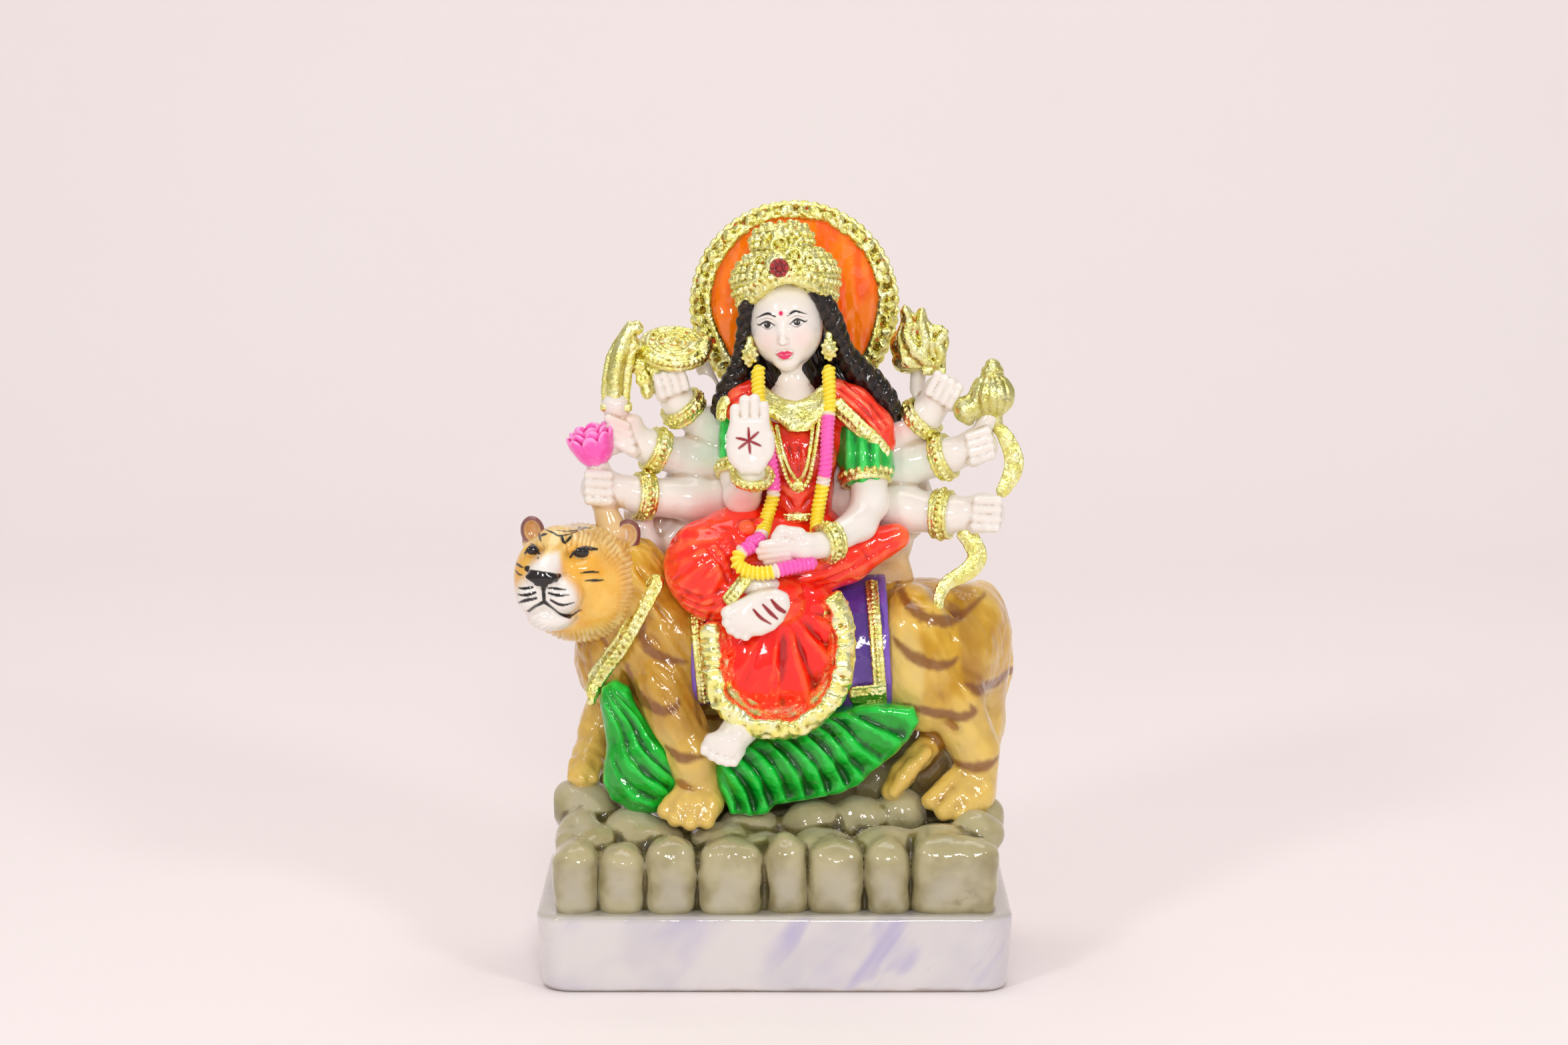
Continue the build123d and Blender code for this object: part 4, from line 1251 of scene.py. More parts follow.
def green_leaf():
    outline = [
        (-11.0, 43.0), (-10.4, 38.2), (-8.6, 32.4), (-5.0, 31.7), (-1.5, 32.3), (0.2, 33.9), (6.7, 35.0),
        (12.6, 36.2), (16.1, 38.0), (19.1, 40.6), (22.6, 43.6), (26.1, 46.8), (28.1, 50.6), (27.0, 53.2),
        (20.0, 54.2), (10.0, 52.0), (2.0, 48.0), (-6.4, 46.0),
    ]

    def foot(x):
        """Height of the leaf's lower edge."""
        return 32.0 + 0.18 * (x + 8) + 0.06 * np.maximum(x - 14, 0) ** 2

    def build(c):
        c.add(plate(outline, -16.4, -9.0, 1.6, centre=at(0, 0, 0)))
        c.chain(
            [at(-7.0, -13.0, 39.6), at(6.0, -13.6, 43.2), at(20.0, -12.6, 48.2)], [5.0, 5.6, 5.0], 1.6, 1
        )

    def finish(skin):
        x, _, z = skin.p.T
        front = smoothstep(0.05, -0.55, skin.normals()[:, 1])
        up = z - foot(x)
        phase = (x + 0.22 * up + 0.030 * up**2) / 3.7 + 0.28 * noise(skin.p, 9.0, 53)
        inside = smoothstep(0.4, -1.8, outline_distance(x, z, np.asarray(outline, np.float32)))
        pleated(skin, phase, 1.35 + 0.6 * noise(skin.p, 6.0, 55), front * inside)
        skin.push(0.26 * noise(skin.p, 3.2, 54) + 0.07 * noise(skin.p, 1.1, 58))

    paint = lacquered(
        "leaf_green_ribbed", srgb(0, 158, 34), srgb(0, 84, 16), srgb(10, 206, 62), crevice=(0.46, 0.84),
        wave=0.14,
    )
    sculpt(
        "green_leaf_piece", ["green_leaf"], 0.28, build, paint, finish, (16, 0.3), margin=3.0
    )


# Goddess: body and dress


def blouse():
    def build(c):
        c.add(egg(at(4.0, -2.6, 103.5), (9.6, 6.8, 6.6)))
        c.add(limb(at(4.2, -3.2, 100), at(4.3, -4.0, 88), 7.6, 6.8), 3)
        for x in (0.4, 7.9):
            c.add(egg(at(x, -8.2, 100.8), (3.9, 2.9, 3.8)), 1.6)
        c.add(limb(at(-5.2, -0.5, 106.2), at(14.6, -0.5, 105.6), 4.8, 4.8), 2)

    def finish(skin):
        lines = [
            seen((-1.5, 98.5), (1.5, 97.0), (4.0, 95.2)), seen((10.5, 98.5), (7.5, 97.0), (5.0, 95.0)),
            seen((-1.0, 96.0), (2.0, 94.0), (3.6, 91.8)), seen((9.8, 96.0), (7.0, 93.8), (5.4, 92.0)),
            seen((4.5, 104.6), (4.8, 101.8), (4.7, 99.0)), seen((2.6, 104.2), (3.6, 101.0)),
            seen((6.9, 103.8), (6.0, 101.2)), seen((2.0, 89.6), (4.4, 88.6), (7.0, 89.4)),
            seen((1.0, 87.4), (4.4, 86.4), (8.0, 87.4)), seen((-2.2, 93.6), (0.6, 91.4), (2.0, 90.8)),
        ]
        score(skin, lines, 0.5, 0.34)
        skin.push(0.12 * noise(skin.p, 1.4, 31))

    paint = lacquered(
        "blouse_red", srgb(238, 44, 20), srgb(176, 14, 10), srgb(250, 96, 60), crevice=(0.6, 1.0), wave=0.14
    )
    sculpt("blouse_piece", ["blouse"], 0.28, build, paint, finish, crevice=(14, 0.2))


def skirt():
    def build(c):
        c.chain([at(5, -3, 83.5), at(-7, -8.5, 82.4), at(-12.8, -12.2, 80.8)], [9.4, 9.2, 8.6], 0, 1.5)
        c.add(egg(at(-12.6, -12.6, 79.8), (7.9, 7.0, 9.8), axes((-0.12, 0, 1))), 1.5)
        c.add(limb(at(3, -10.5, 79.6), at(14, -9.0, 82.2), 7.0, 5.2), 1.5)
        c.add(limb(at(14, -9.0, 82.2), at(23.6, -7.4, 85.6), 5.2, 2.7), 1.0)
        c.add(limb(at(-12.2, -14, 76.2), at(1.5, -17.8, 74.6), 6.0, 4.8), 1.2)
        c.add(egg(at(-5.3, -15.6, 88.3), (1.9, 1.6, 2.0), axes((0.3, 0, 1))), 0.4)
        c.add(egg(at(-2.6, -14.6, 89.3), (1.7, 1.4, 1.2)), 0.5)

    fan = (-5.0, 89.5)
    ends = [
        (-17.5, 89.0), (-19.8, 86.0), (-20.6, 82.0), (-20.2, 78.0), (-18.6, 74.4), (-16.0, 71.8),
        (-12.6, 70.6), (-9.6, 71.6),
    ]

    def finish(skin):
        lines = []
        for i, (x, z) in enumerate(ends):
            bow = 1.6 - 0.1 * i
            start = at(fan[0] - 1.4 - 0.35 * (7 - i), 0, fan[1] - 1.2 - 0.65 * i)
            end = at(x, 0, z)
            lines.append([start, (start + end) / 2 + vec(-0.6 * bow, 0, 0.5 * bow), end])
        score(skin, lines, 0.85, 0.30)
        lower = [
            seen((-17.5, 73.5), (-12.5, 71.8), (-8.5, 73.0)),
            seen((-18.5, 75.4), (-13.4, 73.6), (-9.4, 75.2)),
            seen((-19.0, 77.6), (-14.0, 75.6), (-9.8, 77.4)),
            seen((-12.8, 85.2), (-10.2, 82.2), (-8.9, 78.6)),
            seen((-10.8, 86.0), (-8.6, 83.2), (-7.9, 80.4)),
        ]
        score(skin, lower, 0.5, 0.34)
        thigh = [
            seen((3.5, 79.6), (8.5, 80.2), (13.5, 82.6)), seen((5.5, 77.6), (10.5, 78.4), (15.5, 80.8)),
            seen((9.5, 83.6), (14.5, 84.6), (19.5, 86.6)), seen((14.5, 80.2), (18.5, 82.6), (22.5, 84.8)),
            seen((3.0, 75.6), (6.5, 76.2), (11.5, 77.4)), seen((13.6, 86.0), (16.6, 84.6), (18.2, 82.4)),
        ]
        score(skin, thigh, 0.55, 0.36)
        skin.push(0.10 * noise(skin.p, 1.7, 32) + 0.12 * noise(skin.p, 4.0, 33))

    paint = lacquered(
        "skirt_red", srgb(254, 44, 16), srgb(200, 16, 8), srgb(255, 100, 52), crevice=(0.5, 0.9), wave=0.12
    )
    sculpt("skirt_piece", ["skirt"], 0.3, build, paint, finish, crevice=(16, 0.26))


HEM_LINE = (
    (-12.2, 70.0), (-12.0, 65.0), (-11.6, 60.6), (-9.9, 55.4), (-4.6, 51.6), (0.3, 50.5), (5.2, 51.4),
    (9.9, 55.0), (12.7, 60.2), (13.5, 67.4), (12.4, 72.6), (11.0, 75.6),
)


def hem_depth(z):
    """How far forward the front of the skirt's fall is, at a height."""
    return -18.6 - 3.4 * smoothstep(76, 54, z)


def skirt_pleats():
    middle = at(0.9, -9.0, 66.4)

    def build(c):
        outline = [*HEM_LINE, (6, 78.5), (-6, 76)]
        c.add(plate(outline, -18.0, -9.0, 2.0, centre=at(0, 0, 0)))
        c.add(egg(at(0.9, -13.0, 63.0), (12.6, 7.6, 12.6)), 2.0)
        c.add(egg(at(2.5, -13.5, 72.0), (9.5, 6.2, 7.0)), 2.0)
        c.add(egg(at(-5.5, -14.0, 62.0), (5.6, 7.4, 9.0)), 3.0)

    def finish(skin):
        x, _, z = skin.p.T
        toward = smoothstep(0.2, -0.3, skin.normals()[:, 1])
        apex = middle + vec(0.4, 0, 9.6)
        angle = np.arctan2(x - apex[0], apex[2] - z)
        radius = np.hypot(x - apex[0], z - apex[2])
        phase = angle * 8.6 + 0.45 * noise(skin.p * vec(1, 1, 0.3), 5.0, 41)
        share = phase / math.pi - np.floor(phase / math.pi)
        fold = np.minimum(share / 0.72, (1 - share) / 0.28)
        deep = 0.25 + 0.75 * smoothstep(-0.25, 0.2, angle + 0.1 * noise(skin.p, 7.0, 44))
        skin.push(2.3 * deep * (fold - 0.6) * smoothstep(5.0, 13.0, radius) * toward)
        skin.push(0.22 * noise(skin.p * vec(1, 1, 0.5), 2.4, 42))

    paint = lacquered(
        "pleat_red", srgb(252, 20, 3), srgb(186, 8, 4), srgb(255, 74, 30), crevice=(0.56, 0.94), wave=0.06
    )
    sculpt(
        "pleats_piece", ["skirt_pleats"], 0.3, build, paint, finish, crevice=(14, 0.26),
        margin=2.5,
    )


def skirt_hem():
    path = spline([(*at(x, hem_depth(z), z), 0) for x, z in HEM_LINE], 6)[:, :3]

    def build(c):
        line, ahead = evenly(path, 0.9)
        outer = []
        middle = at(0.9, -9.0, 64.0)
        for i, (p, direction) in enumerate(zip(line, ahead)):
            face = unit((p - middle) * vec(0.35, 0, 0.35) + vec(0, -9, 0))
            side = unit(np.cross(direction, face))
            sway = 0.5 * math.sin(i * 2.9) + 0.3 * math.sin(i * 0.77 + 1)
            turn = np.stack([side, face, unit(direction)])
            c.add(egg(p + face * (0.3 + 0.35 * sway), (2.0, 1.2 + 0.2 * sway, 1.2), turn), 0.35)
            c.add(egg(p - face * 2.7, (1.8, 3.4, 1.3), turn), 1.0)
            outer.append(p + side * 1.75 - face * 0.1)
        c.chain(outer, [0.5] * len(outer), 0.25)

    def finish(skin):
        skin.push(0.34 * (1 - 2 * np.abs(noise(skin.p, 2.4, 51))) + 0.07 * noise(skin.p, 0.8, 52))

    gold_piece(
        "hem_piece", "skirt_hem", 0.22, build, finish, (10, 0.14), "hem_gold", 0.05, warm=0.2, bright=1.08,
        margin=2.5,
    )


def folded_foot():
    outline = [
        (-5.3, 76.9), (-2.6, 77.9), (0.2, 78.3), (2.5, 77.2), (2.9, 75.1), (1.7, 71.9), (0.0, 70.2),
        (-2.4, 69.1), (-5.0, 68.9), (-7.0, 69.8), (-8.5, 71.5), (-9.2, 73.4), (-8.9, 74.9), (-7.6, 75.6),
    ]
    toes = [(-9.2, 73.4, 1.3), (-9.3, 71.6, 1.05), (-8.5, 70.2, 1.0), (-7.2, 69.3, 0.95), (-5.7, 68.8, 0.9)]

    def build(c):
        c.add(plate(outline, -26.2, -21.6, 1.9, centre=at(0, 0, 0)))
        c.add(egg(at(-6.0, -25.0, 72.4), (3.4, 1.9, 3.4)), 0.8)
        c.add(egg(at(0.4, -25.0, 75.4), (2.4, 1.8, 2.6)), 0.8)
        for x, z, r in toes:
            c.add(egg(at(x + 0.2, -24.6, z + 0.2), (r, 1.9, r)), 0.55)
        c.add(egg(at(-3.2, -20.6, 78.4), (4.2, 2.6, 2.2)), 0.8)

    def finish(skin):
        strokes = [
            (seen((-4.0, 74.5), (-2.6, 72.9), (-0.7, 71.7)), (0.22, 0.34, 0.16)),
            (seen((-2.2, 75.4), (-0.8, 73.9), (0.5, 72.7)), (0.24, 0.42, 0.24)),
            (seen((-0.6, 76.4), (0.6, 75.0), (1.9, 74.0)), (0.24, 0.46, 0.36)),
        ]
        skin.paint["mark"] = brush(skin, strokes, soft=0.12)
        skin.push(0.05 * noise(skin.p, 1.6, 61))

    sculpt(
        "sole", ["folded_foot"], 0.2, build, white_resin("sole_white", mark=True), finish,
        (10, 0.14),
    )


def lower_foot():
    def build(c):
        c.add(limb(at(-6.2, -19.0, 50.6), at(-8.6, -21.8, 48.0), 3.6, 3.2))
        c.add(egg(at(-9.8, -22.4, 47.2), (4.0, 2.3, 2.5), axes((0.45, 0, 1))), 1.0)
        for x, y, z, r in ((-13.2, -22.6, 46.6, 1.25), (-11.9, -23.4, 45.6, 1.1), (-10.5, -23.9, 44.9, 1.05),
                           (-9.1, -24.1, 44.5, 1.0), (-7.8, -23.9, 44.4, 0.95)):
            c.chain([at(x + 1.0, y + 1.8, z + 1.6), at(x, y, z)], [r * 1.1, r], 0.6)

    sculpt("standing_foot", ["lower_foot"], 0.2, build, white_resin("foot_white"),
           crumpled(0.05, 1.4, 62), (10, 0.14))


def anklets():
    def build(c):
        line = [at(-5.2, -22.6, 80.2), at(-6.4, -23.4, 78.8), at(-7.8, -23.6, 77.0), at(-9.0, -23.2, 75.4)]
        beaded_band(c, line, lambda p: (-0.5, -1, 0.1), 1.25, thick=0.8, bead=0.4, spacing=0.9)
        low = [at(-9.0, -20.6, 50.8), at(-6.9, -22.4, 51.0), at(-4.6, -21.2, 52.2)]
        beaded_band(c, low, lambda p: (0, -1, 0.2), 0.8, thick=0.5, bead=0.3, spacing=0.8)

    gold_piece(
        "anklet_pair", "anklets", 0.17, build, crumpled(0.07, 0.7), (8, 0.08), "anklet_gold", 0.16,
        margin=2.5,
    )


# Goddess: head


FACE_TURN = axes((-0.09, 0, 1), (math.cos(-0.12), math.sin(-0.12), 0))


def face_paint_look():
    """Pearly skin with painted eyes, brows and lips, painted shade in the hollows and a painted highlight in
    each eye.
    """
    m = Finish("face_paint", roughness=0.28, coat=1.0, coat_roughness=0.05, milk=0.25)
    # Painted shade in the hollows.
    tone = m.mix(m.remap(m.attribute("crevice"), 0.58, 1.0), srgb(243, 236, 228), srgb(214, 190, 168))
    tone = m.mix(m.math("MULTIPLY", m.attribute("blush_and_reflection"), 0.8), tone, srgb(238, 170, 165))
    tone = m.mix(m.attribute("eye_white"), tone, srgb(250, 248, 244))
    tone = m.mix(m.attribute("iris"), tone, srgb(30, 18, 14))
    # Painted highlight in each eye.
    tone = m.mix(m.attribute("glint"), tone, srgb(235, 232, 228))
    tone = m.mix(m.math("MULTIPLY", m.attribute("brown"), 0.85), tone, srgb(112, 66, 40))
    tone = m.mix(m.attribute("ink"), tone, srgb(22, 16, 14))
    m.set("Base Color", m.mix(m.attribute("lips"), tone, srgb(232, 44, 104)))
    m.bump(m.noise(2.2, 2.0), 0.04)
    return m.material


def head_and_neck():
    middle = at(2.4, -1.6, 126.0)

    def face(x, y, z):
        return middle + vec(x, y, z) @ FACE_TURN

    eye_line, brow, nose_base, mouth, chin = 1.3, 3.1, -2.5, -4.6, -8.0
    apart = 2.9

    def build(c):
        c.add(egg(face(0, 0.2, 2.2), (7.2, 8.0, 8.2), FACE_TURN))
        c.add(egg(face(0, -1.4, -1.6), (6.3, 6.0, 6.0), FACE_TURN), 2.2)
        c.add(egg(face(0, -4.9, chin + 1.7), (2.2, 1.9, 1.7), FACE_TURN), 1.8)
        for s in (-1, 1):
            c.add(egg(face(3.1 * s, -4.7, -1.3), (2.4, 1.9, 2.2), FACE_TURN), 1.2)
            c.cut(egg(face(apart * s, -8.2, eye_line + 0.1), (1.9, 1.2, 1.15), FACE_TURN), 0.9)
            c.add(egg(face(apart * s, -5.7, eye_line), (1.5, 1.35, 0.95), FACE_TURN), 0.12)
            lid = ((-1.5, -6.9, 0.0), (0.0, -7.35, 0.85), (1.6, -6.3, 0.1))
            c.crease([face((apart + x) * s, y, eye_line + up) for x, y, up in lid], 0.28, -0.20)
            arch = ((-1.6, -7.4, -0.3), (0.0, -7.3, 0.2), (1.9, -6.0, -0.5))
            c.crease([face((apart + x) * s, y, brow + up) for x, y, up in arch], 0.6, -0.16)
        c.add(limb(face(0, -7.0, eye_line + 0.4), face(0, -8.35, nose_base + 0.6), 0.5, 0.72), 0.9)
        for s in (-1, 1):
            c.add(egg(face(0.68 * s, -7.75, nose_base + 0.4), (0.5, 0.6, 0.42), FACE_TURN), 0.35)
        c.add(egg(face(0, -7.15, mouth + 0.38), (1.8, 0.75, 0.48), FACE_TURN), 0.4)
        c.add(egg(face(0, -7.05, mouth - 0.45), (1.45, 0.8, 0.55), FACE_TURN), 0.4)
        c.crease(
            [face(-1.8, -7.2, mouth + 0.05), face(0, -7.95, mouth - 0.02), face(1.8, -7.2, mouth + 0.05)],
            0.18, 0.2,
        )
        c.crease([face(0, -7.9, nose_base - 0.2), face(0, -7.8, mouth + 0.9)], 0.3, 0.12)
        c.chain([at(3.1, -0.4, 120), at(3.5, -1.4, 113), at(3.6, -2.2, 109.5)], [3.9, 4.1, 6.0], 1.4, 1.5)
        c.crease([at(-0.4, -3.6, 115.0), at(3.3, -5.8, 114.0), at(7.0, -3.6, 115.0)], 0.35, 0.16)

    def eye(s, x, z):
        """Point on the eye of one side: x away from the nose and z up, from the eye's middle."""
        return face((apart + x) * s, -6.8, eye_line + z)

    def finish(skin):
        white_of_eye, iris, line, lips, dot, lash, glint = [], [], [], [], [], [], []
        for s in (-1, 1):
            white_of_eye.append(([eye(s, -1.45, -0.1), eye(s, 0, 0), eye(s, 1.5, 0.12)], (0.12, 0.72, 0.12)))
            iris.append(([eye(s, -0.05, 0.05), eye(s, 0.05, 0.05)], (0.6, 0.6)))
            line.append(
                (
                    [eye(s, -1.45, -0.1), eye(s, 0, 0.78), eye(s, 1.5, 0.15), eye(s, 2.0, 0.3)],
                    (0.10, 0.20, 0.16, 0.05),
                )
            )
            lash.append(([eye(s, -1.4, -0.15), eye(s, 0, -0.74), eye(s, 1.5, 0.1)], (0.04, 0.09, 0.05)))
            lash.append(([eye(s, -1.2, 1.05), eye(s, 0, 1.42), eye(s, 1.6, 0.95)], (0.03, 0.07, 0.03)))
            arch = [eye(s, x, brow - eye_line + up) for x, up in ((-1.7, -0.15), (-0.2, 0.5), (2.0, -0.3))]
            line.append((arch, (0.15, 0.24, 0.05)))
            glint.append(([eye(s, -0.25 * s, 0.3), eye(s, -0.2 * s, 0.3)], (0.11, 0.11)))
        bow = ((-1.75, 0.18), (-0.6, 0.42), (0, 0.3), (0.6, 0.42), (1.75, 0.18))
        lips.append(([face(x, -7.3, mouth + up) for x, up in bow], (0.06, 0.32, 0.32, 0.32, 0.06)))
        lips.append(
            (
                [face(-1.5, -7.3, mouth), face(0, -7.3, mouth - 0.48), face(1.5, -7.3, mouth)],
                (0.06, 0.46, 0.06),
            )
        )
        dot.append(([face(0, -7.3, brow + 0.35), face(0, -7.3, brow + 0.42)], (0.42, 0.42)))
        skin.paint["eye_white"] = brush(skin, white_of_eye, 0.06)
        skin.paint["iris"] = brush(skin, iris, 0.06) * skin.paint["eye_white"]
        skin.paint["ink"] = brush(skin, line, 0.05)
        skin.paint["brown"] = brush(skin, lash, 0.05)
        skin.paint["lips"] = np.maximum(brush(skin, lips, 0.07), brush(skin, dot, 0.06))
        cheeks = [blob(skin, face(3.4 * s, -6, -1.6), (1.9, 1.6), 2.0) for s in (-1, 1)]
        neck = smoothstep(chin - 1.0, chin - 3.0, skin.p[:, 2] - middle[2])
        skin.paint["blush_and_reflection"] = np.maximum(np.maximum(*cheeks) * 0.35, neck * 0.12)
        skin.paint["glint"] = brush(skin, glint, 0.04)

    sculpt(
        "head_piece", ["head_and_neck"], 0.15, build, face_paint_look(), finish,
        crevice=(10, 0.10),
    )


def cut_back(c, z, blend):
    """Cuts what lies behind the halo's back face, around this height."""
    c.cut(block(at(2.4, 30.0, z), (20, 20, 20), 0.5), blend)


def hair():
    right = [
        at(7.0, -5.4, 133.6), at(9.2, -5.0, 131.8), at(11.0, -4.2, 128.6), at(12.3, -3.2, 124.6),
        at(13.7, -2.2, 121.0), at(16.2, -1.4, 117.6), at(19.6, -1.0, 114.4), at(22.2, -0.8, 111.0),
        at(23.2, -0.6, 107.6),
    ]
    left = [
        at(-3.4, -5.4, 133.2), at(-5.2, -5.0, 131.2), at(-5.9, -4.0, 128.0), at(-6.1, -3.2, 124.0),
        at(-6.7, -2.6, 120.0), at(-7.4, -1.8, 116.4), at(-9.2, -1.2, 113.4), at(-10.9, -0.6, 110.0),
        at(-11.6, -0.2, 107.4),
    ]

    def lock(c, line, radii, twist):
        """Rope of three strands that loosens into one smooth lock."""
        path = spline(np.column_stack([line, radii]), 8)
        even, ahead = evenly(path, 0.45)
        strands = [[], [], []]
        for i, (p, direction) in enumerate(zip(even, ahead)):
            turn = axes(direction, (0, -1, 0))
            for j, strand in enumerate(strands):
                angle = twist * i * 0.45 + 2 * math.pi * j / 3
                out = 0.5 * p[3] * (turn[0] * math.cos(angle) + turn[1] * math.sin(angle))
                strand.append((p[:3] + out, 0.62 * p[3]))
        for strand in strands:
            c.chain([s[0] for s in strand], [s[1] for s in strand], 0.06)

    def build(c):
        c.add(egg(at(2.4, 1.4, 128.6), (8.4, 7.6, 8.6)))
        c.add(limb(at(2.8, 2.8, 126), at(3.4, 3.2, 112), 7.6, 7.6), 2)
        c.add(egg(at(-5.4, 0.6, 115.0), (4.2, 3.0, 4.2)), 1.5)
        c.add(egg(at(13.2, 0.8, 115.6), (5.2, 3.0, 4.4)), 1.5)
        lock(c, right, [1.2, 1.6, 1.8, 1.9, 2.1, 2.5, 2.5, 2.2, 1.5], 0.95)
        lock(c, left, [1.0, 1.3, 1.35, 1.4, 1.6, 2.2, 2.2, 1.6, 0.9], 0.85)
        cut_back(c, 132.0, 0.3)

    def finish(skin):
        x, y, z = skin.p.T
        strands = np.sin(x * 5.2 + 1.6 * np.sin(z * 0.5) + 1.3 * noise(skin.p * vec(1, 1, 0.3), 2.0, 71))
        behind = smoothstep(0.0, 4.0, y)
        comb = np.sin(x * 3.6 + z * 1.9 + 0.9 * noise(skin.p, 2.2, 73))
        fine = noise(skin.p * vec(1, 1, 0.4), 0.8, 72)
        skin.push(0.10 * strands * behind + 0.07 * comb * (1 - behind) + 0.06 * fine)

    paint = lacquered("hair_black", srgb(20, 14, 12), srgb(6, 5, 5), srgb(48, 34, 28), wave=0.10, coat=0.6)
    sculpt(
        "hair_piece", ["hair_locks", "back_hair"], 0.22, build, paint, finish, (10, 0.14),
        margin=2.5,
    )


CROWN_TURN = axes((-0.10, 0.17, 1))


def crown():
    middle = at(2.2, 0.3, 134.2)
    profile = [
        (0, -4.4), (9.2, -4.4), (9.4, -3.4), (10.0, -1.2), (10.3, 0.8), (9.9, 2.4), (8.9, 4.0), (7.6, 5.6),
        (6.0, 6.4), (5.6, 8.4), (5.2, 10.0), (3.6, 11.2), (0, 11.6),
    ]

    def place(radius, angle, height):
        """Point on the crown; angle 0 is the front."""
        return middle + vec(radius * math.sin(angle), -radius * math.cos(angle), height) @ CROWN_TURN

    def brow(angle):
        """How far the lower edge rises over the forehead."""
        wrapped = (angle + math.pi) % (2 * math.pi) - math.pi
        return 3.9 * np.exp(-((wrapped / 0.72) ** 2))

    def beads(c, radius, height, count, size, shift=0.0, rise=0.0):
        """Ring of beads, turned by a share of a bead and risen over the brow by a share."""
        for angle in 2 * math.pi * (np.arange(count) + shift) / count:
            c.add(egg(place(radius, angle, height + rise * brow(angle)), (size, size, size)), 0.12)

    def hoop(c, radius, height, thick, rise=0.0):
        around = np.linspace(0, 2 * math.pi, 73)
        c.chain([place(radius, a, height + rise * brow(a)) for a in around], [thick] * len(around), 0.15)

    def below(p):
        q = (p - middle) @ CROWN_TURN.T
        return q[:, 2] + 4.4 - brow(np.arctan2(q[:, 0], -q[:, 1]))

    def build(c):
        c.add(lathe(profile, middle, CROWN_TURN, 0.25))
        c.cut(Shape(*span("crown", margin=3.0), below), 0.2)
        hoop(c, 9.3, -4.0, 0.5, 1.0)
        hoop(c, 9.8, -2.2, 0.38, 0.85)
        hoop(c, 10.5, 0.3, 0.36, 0.2)
        hoop(c, 5.85, 6.9, 0.4)
        hoop(c, 5.6, 9.6, 0.34)
        beads(c, 9.7, -3.1, 60, 0.5, rise=0.93)
        beads(c, 10.3, -1.0, 44, 0.62, rise=0.5)
        for radius, height, count, size, shift in (
            (10.2, 1.6, 34, 0.82, 0), (9.6, 3.0, 30, 0.85, 0.5), (8.7, 4.4, 26, 0.85, 0),
            (7.4, 5.6, 22, 0.8, 0.5),
            (5.95, 7.8, 20, 0.68, 0), (5.9, 9.0, 18, 0.66, 0.5), (4.9, 10.6, 15, 0.76, 0),
            (3.1, 11.5, 9, 0.74, 0),
        ):
            beads(c, radius, height, count, size, shift)
        c.add(egg(place(9.0, -0.15, 3.4), (2.6, 1.9, 2.6), CROWN_TURN), 0.3)
        for radius, angle, height, size in (
            (9.6, -0.5, 4.2, 1.3), (9.1, 0.22, 4.6, 1.4), (9.4, 0.52, 3.4, 1.3), (6.9, -0.1, 7.0, 1.5)
        ):
            p = place(radius, angle, height)
            c.add(ring(p, p - place(0, 0, height - 0.5), size, 0.36), 0.15)
        c.add(egg(place(5.8, -0.1, 8.6), (1.5, 1.0, 1.9), CROWN_TURN), 0.3)
        cut_back(c, 140.0, 0.1)

    def finish(skin):
        ridged = 1 - np.abs(noise(skin.p, 1.1, 81)) * 2
        skin.push(0.16 * ridged + 0.10 * noise(skin.p, 0.5, 82))

    gold_piece("crown_piece", "crown", 0.17, build, finish, (8, 0.10), "crown_gold", 0.12, margin=3.0)


def crown_gem():
    middle = at(0.9, -9.9, 138.2)

    def build(c):
        c.add(egg(middle, (1.9, 1.2, 1.9)))
        for angle in np.arange(7) * 2 * math.pi / 7:
            c.add(
                egg(middle + vec(1.25 * math.cos(angle), -0.7, 1.25 * math.sin(angle)), (0.62, 0.6, 0.62)),
                0.1,
            )
        c.add(egg(middle + vec(0, -1.0, 0), (0.7, 0.6, 0.7)), 0.1)

    paint = lacquered("gem_red", srgb(134, 4, 12), srgb(60, 2, 6), srgb(190, 34, 40), wave=0.05)
    sculpt("gem_piece", ["crown_gem"], 0.12, build, paint, None, (8, 0.1))


HALO_FIELD = (
    (4.0, 147.4), (-1.5, 146.6), (-6.6, 143.6), (-10.8, 138.6), (-12.9, 132.6), (-12.8, 127.6),
    (-11.0, 122.6), (-8.4, 117.6), (-6.0, 113.0), (14.0, 113.0), (17.4, 118.0), (19.9, 124.2), (21.0, 130.6),
    (20.0, 136.2), (17.0, 141.4), (12.8, 145.0), (8.6, 146.9),
)


def halo_field():
    """Closed curve round the orange field."""
    corners = np.array(seen(*HALO_FIELD))
    return spline(np.vstack([corners, corners[:1]]), 5)[:-1]


def halo_orange_look():
    """Streaky fluorescent orange with painted shade in its hollows, and a faint glow that is painted light,
    lifting the shade cast on the disc.
    """
    m = Finish("halo_orange", roughness=0.3, coat=1.0, coat_roughness=0.05)
    tone = m.mix(m.remap(m.attribute("stroke"), 0.4, 0.9), srgb(255, 132, 8), srgb(255, 94, 0))
    # Painted shade in the hollows.
    tone = m.mix(m.remap(m.attribute("crevice"), 0.6, 1.0, 0.0, 0.7), tone, srgb(244, 64, 6))
    streaks = m.remap(m.noise(3.4, 3.0, stretch=(1, 1, 2.4)), 0.56, 0.76, 0.0, 0.4)
    m.set("Base Color", m.mix(streaks, tone, srgb(255, 160, 40)))
    # Painted light: a faint orange glow.
    m.set("Emission Color", srgb(255, 92, 0))
    m.set("Emission Strength", 0.16)
    m.bump(m.noise(2.4, 3.0, stretch=(1, 1, 2)), 0.16)
    return m.material


